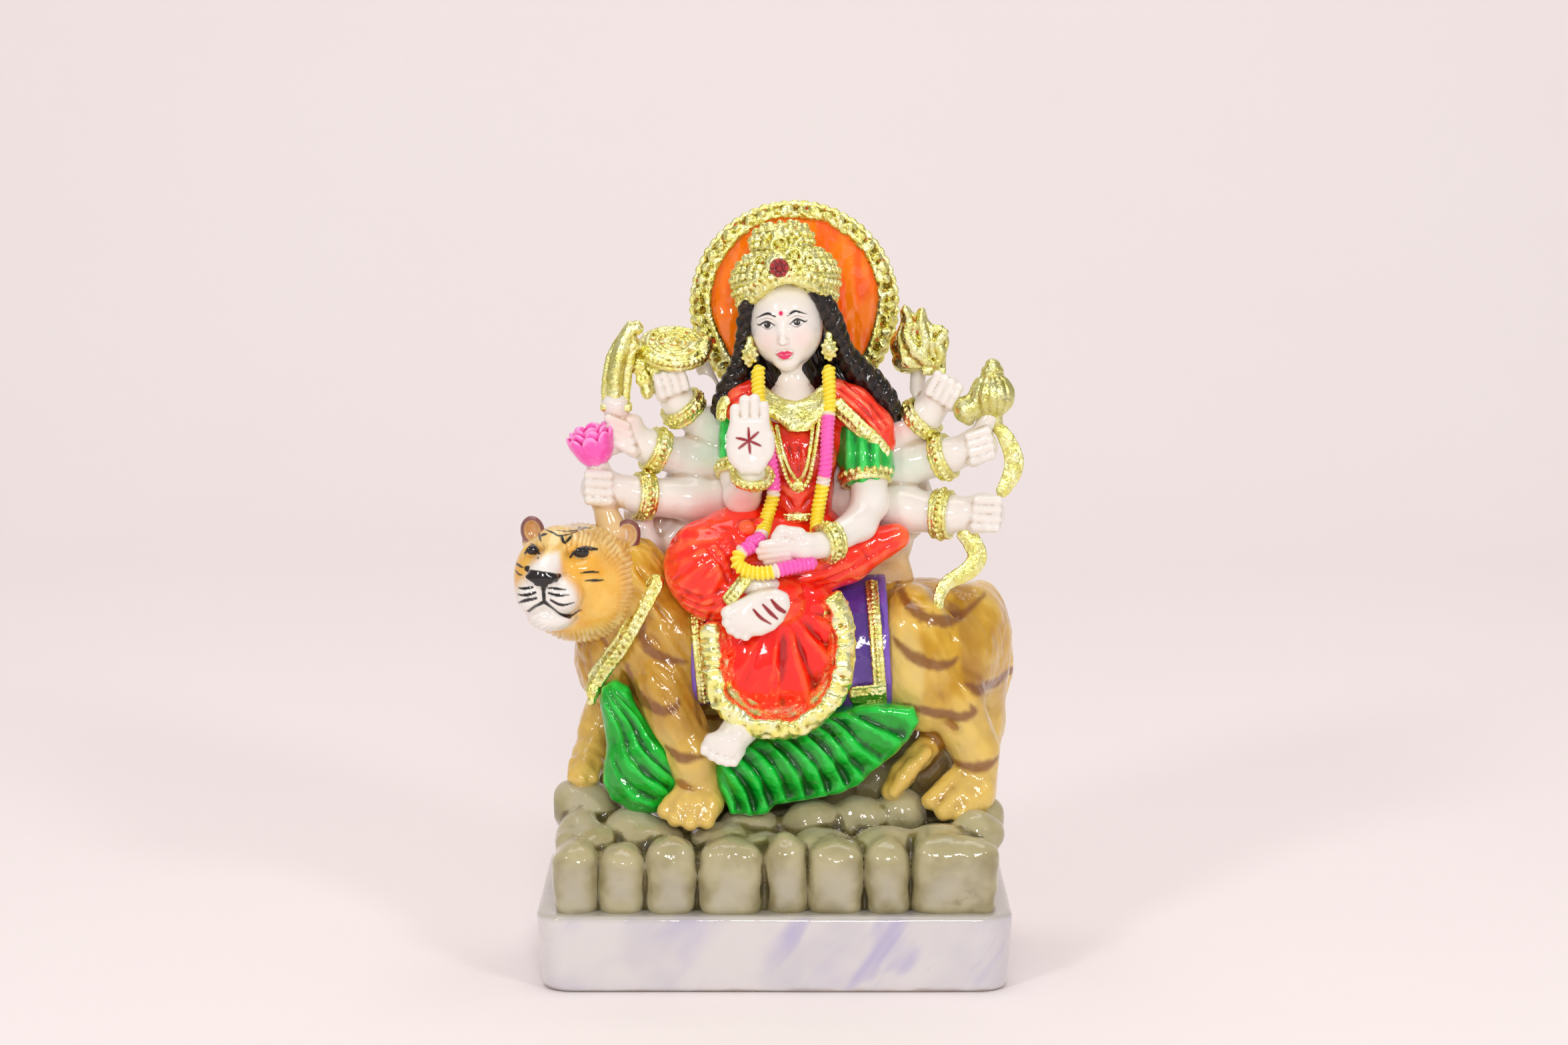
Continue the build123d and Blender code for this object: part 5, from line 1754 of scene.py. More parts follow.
def halo_disc():
    outline = halo_field()[:, [0, 2]]
    flat = np.asarray(at(0, 9.6, 0)) * vec(0, 1, 0)

    def build(c):
        c.add(plate(outline, -0.9, 1.5, 0.5, centre=flat))

    def finish(skin):
        swirl = noise(skin.p * vec(1.4, 1, 0.5), 2.6, 91) + 0.5 * noise(skin.p * vec(1.4, 1, 0.6), 1.2, 92)
        skin.push(0.26 * swirl)
        skin.paint["stroke"] = np.clip(0.5 + 0.55 * noise(skin.p * vec(1.6, 1, 0.45), 2.4, 93), 0, 1)

    sculpt(
        "halo_field_piece", ["halo_disc"], 0.3, build, halo_orange_look(), finish,
        (10, 0.16), margin=2.0,
    )


def halo_rim():
    middle = at(3.9, 9.6, 129.3)
    radius, beads, scallops = 20.9, 46, 62
    field = halo_field()
    inner = [(p[0] - middle[0], p[2] - middle[2]) for p in field]

    def build(c):
        angles = np.linspace(0, 2 * math.pi, scallops * 4, endpoint=False)
        edge = radius - 0.5 + 0.4 * np.abs(np.sin(angles * scallops / 2))
        c.add(
            plate(np.stack([edge * np.cos(angles), edge * np.sin(angles)], 1), -0.6, 1.2, 0.4, centre=middle)
        )
        c.add(ring(middle - vec(0, 0.5, 0), (0, 1, 0), radius - 2.9, 1.5, 0.7), 0.4)
        for i in range(beads):
            a = 2 * math.pi * i / beads
            wobble = 1 + 0.14 * math.sin(i * 2.7)
            p = middle + vec((radius - 2.2) * math.cos(a), -1.1, (radius - 2.2) * math.sin(a))
            c.add(egg(p, (1.15 * wobble, 1.3, 1.15 * wobble)), 0.35)
            c.add(egg(p + vec(0.5 * math.cos(i), -0.8, 0.5 * math.sin(i)), (0.6, 0.6, 0.6)), 0.2)
            q = middle + vec((radius - 3.7) * math.cos(a + 0.07), -1.0, (radius - 3.7) * math.sin(a + 0.07))
            c.add(egg(q, (0.9, 0.9, 0.9)), 0.35)
        c.cut(plate(inner, -9, -0.3, 0.3, centre=middle), 0.2)
        c.cut(plate(np.array(inner) * 0.93, -9, 9, 0.3, centre=middle), 0.2)
        rim = [(p[0], middle[1] - 1.3, p[2]) for p in field]
        c.chain(rim + rim[:1], [0.9] * (len(rim) + 1), 0.2)

    def finish(skin):
        x, _, z = (skin.p - middle).T
        out = np.hypot(x, z)
        rough = smoothstep(radius - 4.6, radius - 3.6, out) * smoothstep(radius - 0.6, radius - 1.4, out)
        outside = outline_distance(x, z, np.asarray(inner, np.float32))
        rough = np.maximum(
            rough, smoothstep(1.0, 2.0, outside) * smoothstep(radius - 0.6, radius - 1.4, out)
        )
        skin.push((0.05 + 0.20 * rough) * (noise(skin.p, 1.1, 94) + 0.7 * noise(skin.p, 0.5, 95)))

    gold_piece(
        "halo_rim_piece", "halo_rim", 0.21, build, finish, (8, 0.12), "halo_gold", 0.14, warm=0.3, margin=2.0
    )


def earrings():
    def build(c):
        for x, top, foot in ((-4.8, 124.0, 119.2), (10.6, 125.0, 120.4)):
            middle = at(x, -5.0, (top + foot) / 2 - 0.6)
            c.add(limb(at(x, -4.6, top), middle, 0.7, 1.0), 0.3)
            c.add(egg(middle, (1.45, 1.2, 2.0)), 0.3)
            for angle in np.arange(9) * 2 * math.pi / 9:
                c.add(
                    egg(middle + vec(1.35 * math.cos(angle), -0.3, 1.9 * math.sin(angle)), (0.42,) * 3), 0.1
                )
            c.add(egg(middle + vec(0, -0.9, 0.2), (0.7, 0.6, 1.0)), 0.1)
            c.add(egg(at(x, -5.2, foot - 0.3), (0.5,) * 3), 0.1)

    gold_piece("earring_pair", "earrings", 0.13, build, crumpled(0.06, 0.6), (8, 0.07), "earring_gold", 0.12)


# Arms and hands


def fist(c, centre, along, across, size=1.0):
    """Closed hand: along points from the wrist to the knuckles, with the fingers side by side across it."""
    along, across = unit(along), unit(across)
    front = unit(np.cross(along, across))
    front = front if front[1] < 0 else -front
    c.add(egg(centre, vec(3.4, 2.7, 3.5) * size, np.stack([along, front, across])), 1.6)
    for i in range(4):
        side = across * (i - 1.5) * 1.62 * size
        r = (0.98 - 0.05 * abs(i - 1.2)) * size
        knuckle = centre + side * 0.9 + along * 2.2 * size + front * 0.7 * size
        bend = centre + side + along * 2.5 * size + front * 1.9 * size
        tip = centre + side - along * 1.3 * size + front * 2.5 * size
        c.chain([knuckle, bend, tip], [r, r, r * 0.95], 0.18)
    base = centre - along * 1.6 * size + front * 1.6 * size - across * 2.7 * size
    c.chain(
        [base, base + (along * 2.6 + front * 0.9 + across * 0.3) * size], [1.2 * size, 0.95 * size], 0.35
    )


def rear_arms():
    arms = [
        (
            [at(-3, 3, 104), at(-12, 2.5, 105.6), at(-18.0, 0.4, 110.2), at(-20.2, -0.4, 113.6)],
            [4.6, 4.3, 3.3, 3.2],
        ),
        (
            [at(-4, 2, 99), at(-15, 1, 99.4), at(-23.2, -1.8, 101.9), at(-27.4, -3.2, 104.2)],
            [4.6, 4.2, 3.3, 3.2],
        ),
        (
            [at(-4, 1, 92.6), at(-16, -1.5, 92.2), at(-25.6, -4.2, 93.2), at(-32.0, -5.6, 95.0)],
            [4.8, 4.3, 3.5, 3.2],
        ),
        (
            [at(13, 3, 103), at(22.8, 2.2, 103.8), at(29.0, 0.2, 108.0), at(32.0, -0.6, 112.0)],
            [4.8, 4.3, 3.3, 3.2],
        ),
        (
            [at(13, 2, 98.6), at(25, 1, 98.4), at(33.0, -2.2, 100.6), at(38.2, -3.6, 102.6)],
            [4.8, 4.2, 3.4, 3.2],
        ),
        (
            [at(13, 1, 91.6), at(25, -1.5, 90.2), at(33.0, -4.2, 89.6), at(39.4, -5.8, 90.0)],
            [5.0, 4.5, 3.7, 3.4],
        ),
    ]
    hands = [
        (at(-20.2, -1.6, 115.2), (-0.3, -0.2, 1), (1, 0.1, 0.35), 0.98),
        (at(-30.0, -4.6, 105.2), (-1, -0.3, 0.45), (-0.25, 0, 1), 1.0),
        (at(-34.2, -6.6, 95.4), (-1, -0.35, 0.1), (0, 0, 1), 1.05),
        (at(32.8, -1.9, 113.8), (0.5, -0.2, 1), (-0.9, 0, 0.55), 1.0),
        (at(40.0, -4.8, 103.4), (1, -0.35, 0.35), (-0.2, 0, 1), 1.0),
        (at(41.2, -6.8, 90.4), (1, -0.35, 0.0), (0.08, 0, 1), 1.08),
    ]
    left = [
        (-5, 108), (-10.5, 107.6), (-14.4, 106.0), (-18.6, 102.6), (-21.6, 96), (-25.8, 91), (-28.4, 86.4),
        (-27.5, 78), (-20, 74), (-5, 74),
    ]
    right = [
        (13, 108), (19.5, 106.8), (24.6, 104.2), (29.6, 97.6), (31.6, 92), (31.0, 86.5), (27.6, 83.6),
        (26.4, 80.0), (27.6, 76), (26, 73), (13, 73),
    ]

    def build(c):
        flat = at(0, 0, 0)
        c.add(plate(left, 0.2, 5.2, 2.4, centre=flat))
        c.add(plate(right, 0.2, 5.2, 2.4, centre=flat))
        for root, tip in (
            ((-8, 3, 100), (-22, 1.5, 80)), ((-6, 3, 96), (-10, 3, 78)), ((15, 3, 99), (22, 2.6, 82)),
            ((13, 3, 96), (17, 3, 78)),
        ):
            c.add(limb(at(*root), at(*tip), 3.4, 3.6), 2.2)
        for points, radii in arms:
            c.chain(points, radii, 1.6, 1.0)
        for centre, along, across, size in hands:
            fist(c, centre, along, across, size)
        c.chain(
            [at(-33.6, -6.0, 92.4), at(-32.4, -6.4, 89.0), at(-31.4, -6.6, 86.2)], [2.2, 2.3, 3.2], 0.9, 0.6
        )
        c.add(limb(at(-27.0, -1.5, 89), at(-25.5, -3.0, 82), 2.6, 3.6), 2.5)
        c.add(limb(at(-33.6, -6.4, 98.4), at(-35.0, -7.2, 101.2), 1.9, 2.4), 0.8)
        c.add(limb(at(-30.6, -3.6, 108.4), at(-31.0, -3.4, 111.0), 2.2, 2.7), 0.8)
        c.add(limb(at(40.6, -4.4, 106.6), at(41.8, -4.4, 108.8), 1.9, 1.8), 0.8)
        c.add(limb(at(-10.6, 3.4, 110.0), at(-14.0, 5.6, 117.4), 1.5, 1.6), 1.0)
        c.add(limb(at(27.6, 2.0, 109.0), at(28.2, 3.0, 117.0), 1.4, 1.6), 1.0)
        c.cut(egg(at(-13.6, 2.5, 113.2), (2.2, 9, 3.0), axes((-0.25, 0, 1))), 0.6)
        c.cut(egg(at(24.4, 3, 110.4), (3.1, 9, 3.1)), 0.6)

    def finish(skin):
        # Soft spots of tint, for painted reflections.
        def reflection_spots(spots):
            clouds = [
                blob(skin, at(x, 0, z), (wide, tall), 2.5) * share for x, z, wide, tall, share in spots
            ]
            return np.max(clouds, 0)

        # Green tint: painted reflection of the green sleeves.
        green = reflection_spots([
            (-12.6, 105.4, 2.2, 3.6, 1.0), (-14.5, 100.2, 3.4, 2.4, 0.7), (-17.0, 107.0, 2.0, 1.6, 0.5),
            (27.0, 99.6, 3.2, 3.6, 0.6), (22.4, 102.4, 2.0, 2.8, 0.6),
        ])
        skin.paint["green_reflection"] = green * smoothstep(0.2, -0.4, skin.normals()[:, 1])
        # Pink tint: painted reflection of the red dress.
        skin.paint["blush_and_reflection"] = reflection_spots([
            (-29.4, 107.8, 3.0, 2.6, 0.4), (24.6, 106.2, 3.2, 1.8, 0.55), (-11.5, 91.4, 3.0, 1.8, 0.4),
            (-25.0, 89.6, 4.0, 1.8, 0.25),
        ])
        x, _, z = skin.p.T
        low = smoothstep(85.5, 79.0, z + 1.2 * noise(skin.p, 4.0, 3))
        stem = smoothstep(94.0, 90.0, z) * (x < -29.0)
        skin.paint["honey"] = np.maximum(low, stem)
        skin.push(0.06 * noise(skin.p, 2.2, 101))

    nodes = ["rear_arm_left_upper", "rear_arm_left_middle", "rear_arm_left_lower", "rear_arm_right_upper",
             "rear_arm_right_middle", "rear_arm_right_lower", "arm_web"]
    sculpt(
        "rear_arms_piece", nodes, 0.30, build, white_resin("arm_white", honey=True), finish,
        (12, 0.16),
    )


def blessing_arm():
    palm = [
        (-8.0, 101.4), (-9.1, 104.2), (-9.2, 107.0), (-8.5, 109.6), (-8.1, 110.6), (-1.5, 110.6),
        (-0.9, 108.6), (-0.2, 106.0), (-0.4, 103.4), (-1.5, 100.8), (-2.8, 99.2), (-6.4, 99.2),
    ]
    fingers = [(-7.5, 112.9, 1.08), (-5.7, 114.6, 1.1), (-3.85, 114.8, 1.12), (-2.05, 113.4, 1.06)]

    def build(c):
        c.chain(
            [at(-7.0, -1.5, 106), at(-7.2, -5.5, 97.6), at(-6.2, -9.6, 93.9), at(-4.6, -14.4, 98.4)],
            [3.2, 3.2, 3.5, 3.0], 0, 1.2,
        )
        c.add(plate(palm, -18.6, -15.8, 1.35, centre=at(0, 0, 0)), 0.8)
        for x, z, r in fingers:
            c.chain([at(x * 0.99, -17.1, 107.6), at(x, -17.2, z - r)], [r * 1.05, r * 0.98], 0.3)
        c.add(egg(at(-1.4, -17.4, 104.6), (1.5, 1.5, 3.0), axes((0.1, 0, 1))), 0.5)
        c.add(egg(at(-7.7, -17.3, 104.0), (1.5, 1.3, 3.0)), 0.5)
        c.add(egg(at(-4.8, -17.3, 101.4), (3.2, 1.6, 1.8)), 0.5)

    def finish(skin):
        centre = at(-4.9, 0, 105.9)
        rays = [(math.cos(a), math.sin(a)) for a in np.radians((92, 42, 168, 218, 336, 275))]
        strokes = [
            ([centre + vec(x, 0, z) * out for out in (0, 1.3, 2.4)], (0.2, 0.3, 0.2)) for x, z in rays
        ]
        skin.paint["mark"] = brush(skin, strokes, soft=0.1, facing=-0.5)
        # Pink tint at the elbow: painted reflection of the red blouse.
        skin.paint["blush_and_reflection"] = blob(skin, at(-5.8, 0, 93.0), (3.0, 2.4), 2.2) * 0.9
        skin.push(0.05 * noise(skin.p, 1.8, 102))

    sculpt(
        "blessing_arm_piece", ["blessing_arm"], 0.18, build,
        white_resin("palm_white", mark=True), finish, (10, 0.12),
    )


def resting_arm():
    def build(c):
        c.chain(
            [
                at(16.6, -1, 106), at(18.2, -5, 98.0), at(18.6, -8, 92.4), at(16.4, -11.4, 88.8),
                at(10.8, -16.6, 86.2),
            ],
            [4.0, 3.7, 3.5, 3.3, 2.7], 0, 1.2,
        )
        c.chain([at(10.8, -17.2, 85.8), at(5.4, -19.6, 85.4)], [2.6, 2.7], 0.8, 0.6)
        c.add(egg(at(4.2, -19.8, 85.9), (4.0, 2.5, 2.7), axes((-0.1, 0, 1))), 0.8)
        c.chain(
            [at(4.6, -20.4, 88.0), at(1.4, -20.8, 88.6), at(0.4, -21.0, 87.6)], [1.5, 1.35, 1.15], 0.4, 0.4
        )
        c.add(egg(at(3.4, -20.6, 88.4), (1.5, 1.3, 1.0)), 0.3)
        for i, (z, reach) in enumerate(((86.6, -2.3), (85.4, -2.9), (84.3, -2.5), (83.3, -1.5))):
            c.chain(
                [at(2.4, -21.2 + 0.15 * i, z + 0.2), at(reach, -21.6 + 0.25 * i, z - 0.4)], [1.15, 0.85],
                0.2, 0.2,
            )
        c.add(egg(at(1.0, -19.4, 85.0), (3.2, 2.4, 2.6)), 0.6)

    def finish(skin):
        # Pink tints low on the hand and at the fingertips: painted reflection of the red skirt.
        low = blob(skin, at(2.5, 0, 82.6), (6.5, 1.4), 1.4) * 0.6
        skin.paint["blush_and_reflection"] = np.maximum(low, blob(skin, at(-2.6, 0, 84.0), (1.2, 2.2), 1.0) * 0.5)
        skin.push(0.05 * noise(skin.p, 1.8, 103))

    sculpt(
        "resting_arm_piece", ["resting_arm"], 0.18, build, white_resin("hand_white"), finish,
        (10, 0.12),
    )


# Dress and jewellery


def sleeves():
    def build(c):
        c.chain([at(-6.8, -1.5, 108.4), at(-7.2, -3.8, 101.4)], [3.9, 4.0], 0, 0.5)
        c.chain(
            [at(16.2, -1.8, 106.4), at(17.5, -4.8, 100.6), at(17.6, -5.2, 99.4)], [5.0, 5.2, 5.0], 0, 0.6
        )
        c.chain([at(20.6, -3.4, 104), at(21.4, -4.0, 98.6)], [2.0, 2.2], 0.4, 0.4)

    def finish(skin):
        x = skin.p[:, 0]
        fold = np.sin(x * 2.3 + 0.6 * noise(skin.p * vec(1, 1, 0.3), 3.0, 111))
        skin.push(0.20 * fold * smoothstep(0.4, -0.2, skin.normals()[:, 1]) + 0.08 * noise(skin.p, 1.6, 112))

    paint = lacquered(
        "sleeve_green", srgb(8, 176, 58), srgb(0, 98, 30), srgb(70, 220, 100), crevice=(0.5, 0.85), wave=0.12
    )
    sculpt("sleeve_pair", ["sleeves"], 0.25, build, paint, finish, (12, 0.16), margin=2.0)


def armlets():
    def build(c):
        bangle(c, at(-7.2, -5.2, 98.6), (0.05, 0.5, 1), 3.5, 2.6, 0.55)
        bangle(c, at(17.7, -5.6, 97.6), (-0.1, 0.4, 1), 4.2, 3.4, 0.6)

    gold_piece(
        "armlet_pair", "armlets", 0.17, build, crumpled(0.12, 0.8), (8, 0.1), "armlet_gold", 0.18, margin=2.0
    )


def bangles():
    wrists = [
        ((-4.3, -15.0, 98.7), (0.05, -0.55, 1), 3.3, 2.0),
        ((10.4, -16.9, 86.0), (-1, -0.7, -0.15), 3.1, 3.6),
        ((-17.8, 0.3, 109.9), (-0.55, -0.3, 0.75), 3.75, 3.2),
        ((-23.2, -1.9, 101.9), (-1, -0.35, 0.45), 3.7, 3.2),
        ((-25.6, -4.2, 93.2), (-1, -0.35, 0.12), 3.9, 3.4),
        ((28.7, 0.2, 107.8), (0.65, -0.3, 0.7), 3.75, 2.8),
        ((33.0, -2.2, 100.6), (1, -0.4, 0.4), 3.75, 3.0), ((32.8, -4.2, 89.6), (1, -0.35, -0.02), 4.1, 3.4),
    ]

    def build(c):
        for centre, axis, radius, width in wrists:
            middle = at(*centre)
            bangle(c, middle, axis, radius, width)
            for shift in (-0.45, 0.45):
                c.add(ring(middle + unit(axis) * shift * width * 0.42, axis, radius + 0.5, 0.36), 0.1)

    gold_piece(
        "bangle_set", "bangles", 0.18, build, crumpled(0.12, 0.7), (8, 0.1), "bangle_gold", 0.16, warm=0.5,
        margin=2.5,
    )


def shawl():
    def build(c):
        c.chain(
            [at(11.8, -3.4, 113.2), at(15.0, -3.0, 110.4), at(19.0, -3.4, 106.4), at(20.6, -3.8, 103.6)],
            [3.0, 4.3, 4.2, 3.0], 0, 1.0,
        )
        c.chain(
            [at(-4.2, -2.6, 113.4), at(-6.2, -2.6, 112.0), at(-8.0, -3.0, 109.6)], [2.6, 3.1, 2.5], 0, 0.8
        )

    def finish(skin):
        lines = [
            seen((12.5, 114.5), (16.5, 111.5), (20.8, 106.5)),
            seen((12.4, 112.6), (16.0, 109.8), (20.6, 104.6)),
            seen((13.6, 115.6), (18.0, 112.2), (22.0, 107.2)),
            seen((-5.2, 113.6), (-8.0, 112.0), (-10.8, 109.0)),
            seen((-4.8, 111.8), (-7.4, 110.2), (-10.4, 107.4)),
        ]
        score(skin, lines, 0.42, 0.30)
        skin.push(0.08 * noise(skin.p, 1.4, 121))

    paint = lacquered(
        "shawl_red", srgb(250, 50, 26), srgb(176, 16, 12), srgb(255, 120, 84), crevice=(0.5, 0.88), wave=0.10
    )
    sculpt("shawl_piece", ["shawl"], 0.22, build, paint, finish, (10, 0.14), margin=2.0)


def shawl_trim():
    def build(c):
        line = [
            at(11.6, -7.0, 112.0), at(13.4, -7.6, 110.0), at(16.4, -7.9, 107.2), at(19.4, -7.5, 104.4),
            at(21.4, -6.6, 101.8),
        ]
        beaded_band(c, line, lambda p: (-0.35, -1, 0.15), 1.5, thick=0.9, rim=0.4, bead=0.5, spacing=1.0)
        line = [at(-9.2, -4.8, 112.4), at(-10.1, -5.2, 110.6), at(-10.2, -5.6, 108.4)]
        beaded_band(c, line, lambda p: (-0.6, -1, 0.1), 1.1, thick=0.8, rim=0.35, bead=0.42, spacing=0.9)

    box = span("shawl_trim", "sleeves", margin=2.0)
    gold_piece(
        "shawl_trim_piece", "shawl_trim", 0.17, build, crumpled(0.10, 0.8), (8, 0.1), "shawl_gold", 0.16,
        warm=0.4, box=box,
    )


def chest_depth(x, z):
    """How far forward the dress is on the chest."""
    bulge = max(math.exp(-((x - c) ** 2 + (z - 100.8) ** 2) / 18) for c in (0.4, 7.9))
    return -7.4 - 2.8 * bulge - 1.2 * smoothstep(112, 104, z)


def neck_collar():
    outer = [
        (-2.6, 112.4), (-1.6, 110.9), (0.2, 109.8), (2.2, 108.4), (3.6, 106.9), (4.7, 104.9), (5.8, 107.0),
        (7.2, 108.6), (9.0, 110.2), (10.2, 112.6),
    ]
    upper = [(-2.2, 114.0), (0.4, 112.2), (3.8, 111.2), (7.2, 112.3), (9.6, 114.4)]
    ribs = 26

    def in_steps(edge):
        """The same number of points along each edge, one for each rib."""
        share = np.linspace(0, 1, ribs)
        return np.stack([np.interp(share, np.linspace(0, 1, len(edge)), edge[:, i]) for i in range(3)], 1)

    def build(c):
        low_edge = spline([(*at(x, -8.6 - 0.25 * (112 - z), z), 0) for x, z in outer], 6)[:, :3]
        high_edge = spline([(*at(x, -6.2 - 0.45 * (114.4 - z), z), 0) for x, z in upper], 6)[:, :3]
        a, b = in_steps(low_edge), in_steps(high_edge)
        for p, q in zip(a, b):
            c.add(limb(p, q, 0.95, 0.9), 0.5)
        c.chain(list(b), [1.0] * len(b), 0.2)
        for i in range(0, ribs, 2):
            c.add(egg(a[i] + vec(0, -0.4, -0.3), (0.72, 0.7, 0.72)), 0.2)
            c.add(egg((a[i] * 2 + b[i]) / 3 + vec(0, -0.8, 0), (0.5, 0.45, 0.5)), 0.2)
        c.add(egg(a[ribs // 2 - 1] + vec(0.2, -0.5, -0.4), (0.9, 0.7, 1.3)), 0.2)

    gold_piece(
        "neck_collar_piece", "neck_collar", 0.17, build, crumpled(0.10, 0.8), (8, 0.1), "yoke_gold", 0.16,
        warm=0.0,
    )


def necklace():
    drop = [
        (-1.2, 108.8), (0.0, 105.0), (1.4, 100.6), (2.6, 97.0), (4.6, 94.9), (6.4, 97.0), (7.4, 100.8),
        (8.2, 105.2), (8.8, 109.2),
    ]
    inner = [(0.4, 107.6), (1.6, 103.0), (3.0, 99.2), (4.6, 97.2), (6.0, 99.4), (6.8, 103.2), (7.4, 107.6)]

    def build(c):
        for line, size, bead in ((drop, 0.48, 0.5), (inner, 0.42, 0)):
            path = spline([(*at(x, chest_depth(x, z) - 1.4, z), 0) for x, z in line], 6)[:, :3]
            c.chain(list(path), [size] * len(path), 0.1)
            if bead:
                beads, _ = evenly(path, 1.0)
                for p in beads:
                    c.add(egg(p + vec(0, -0.25, 0), (bead,) * 3), 0.08)
        c.add(egg(at(4.6, chest_depth(4.6, 96.2) - 1.5, 96.1), (1.3, 0.7, 1.2)), 0.2)

    gold_piece(
        "necklace_piece", "necklace", 0.13, build, crumpled(0.05, 0.6), (8, 0.07), "necklace_gold", 0.12,
        warm=0.7, margin=2.0,
    )


def belt_buckle():
    def build(c):
        c.add(egg(at(4.4, -11.2, 90.0), (2.7, 0.9, 1.15)))
        c.add(limb(at(1.9, -11.6, 90.5), at(6.9, -11.6, 90.6), 0.34), 0.15)
        for x in (2.6, 3.8, 5.0, 6.2):
            c.add(egg(at(x, -12.0, 89.6), (0.42, 0.4, 0.42)), 0.12)

    gold_piece(
        "buckle_piece", "belt_buckle", 0.13, build, crumpled(0.08, 0.6), (8, 0.08), "buckle_gold", 0.14,
        warm=0.6,
    )


def garland_paint_look():
    """Yellow and pink flowers with painted shade in the hollows and a painted highlight on the yellow crests,
    and bare resin where the strand is only cast.
    """
    m = Finish("garland_paint", roughness=0.32, coat=1.0, coat_roughness=0.05)
    # Painted shade in the hollows, then a painted highlight on the crests.
    yellow = m.mix(m.remap(m.attribute("crevice"), 0.55, 1.0), srgb(252, 222, 22), srgb(228, 172, 10))
    yellow = m.mix(m.remap(m.attribute("crevice"), 0.4, 0.1), yellow, srgb(255, 238, 90))
    # Painted shade in the pink's hollows.
    pink = m.mix(m.remap(m.attribute("crevice"), 0.5, 0.95), srgb(255, 96, 190), srgb(222, 40, 140))
    tone = m.mix(m.attribute("pink"), yellow, pink)
    m.set("Base Color", m.mix(m.attribute("bare"), tone, srgb(240, 224, 216)))
    m.bump(m.noise(0.9, 2.0), 0.05)
    return m.material


def garland():
    # Each strand is a curve and its bands: from and to, as shares of its length, and 1 for pink.
    strands = [
        (
            [
                at(10.4, -6.0, 118.4), at(10.6, -8.4, 112.6), at(10.2, -10.4, 107), at(9.9, -12.4, 101),
                at(9.2, -12.2, 96), at(8.3, -12.6, 91), at(8.0, -14.6, 87.4),
            ],
            [(0.0, 0.27, 0), (0.29, 0.66, 1), (0.70, 1.0, 0)],
        ),
        (
            [
                at(-3.2, -6.0, 118.4), at(-3.0, -8.8, 112.4), at(-1.6, -11.0, 106), at(-0.6, -12.6, 100),
                at(-0.2, -12.2, 95), at(-1.6, -13.6, 90), at(-2.8, -17.6, 87.0), at(-4.6, -20.4, 86.2),
            ],
            [(0.0, 0.30, 0), (0.32, 0.63, 1), (0.66, 0.89, 0), (0.91, 1.0, 1)],
        ),
        (
            [
                at(-4.4, -20.4, 85.8), at(-6.6, -22.0, 84.6), at(-7.0, -22.8, 82.6), at(-4.4, -23.4, 81.2),
                at(-1.0, -23.6, 81.2), at(2.6, -22.6, 82.0), at(7.4, -20.4, 82.6),
            ],
            [(0.0, 0.12, 1), (0.14, 0.60, 0), (0.64, 1.0, 1)],
        ),
    ]

    def build(c):
        for points, _ in strands:
            core, _ = evenly(spline(points, 10), 0.42)
            c.chain(core, [1.02] * len(core))
            for p, direction in zip(*evenly(spline(points, 10), 0.92)):
                tilt = axes(direction + 0.35 * np.linalg.norm(direction) * vec(0.9, 0.2, 0.3), (0, -1, 0))
                c.add(egg(p, (1.5, 1.5, 0.62), tilt), 0.18)

    def finish(skin):
        """Each vertex takes the colour of the nearest point of a strand."""
        pink, bare = np.zeros(len(skin.p), np.float32), np.ones(len(skin.p), np.float32)
        best = np.full(len(skin.p), 99.0, np.float32)
        for points, bands in strands:
            line, _ = evenly(spline(points, 10), 0.5)
            share = np.linspace(0, 1, len(line))
            for p, t in zip(line, share):
                away = np.linalg.norm(skin.p - p, axis=1)
                closer = away < best
                best[closer] = away[closer]
                kind = [k for a, b, k in bands if a <= t <= b]
                pink[closer] = kind[0] if kind else 0
                bare[closer] = 0 if kind else 1
        skin.paint["pink"] = skin.blur(pink[:, None], 2)[:, 0]
        skin.paint["bare"] = skin.blur(bare[:, None], 2)[:, 0]
        skin.push(0.05 * noise(skin.p, 0.9, 131))

    sculpt(
        "garland_piece", ["garland"], 0.18, build, garland_paint_look(), finish, (8, 0.14),
        margin=2.5,
    )


# Held things


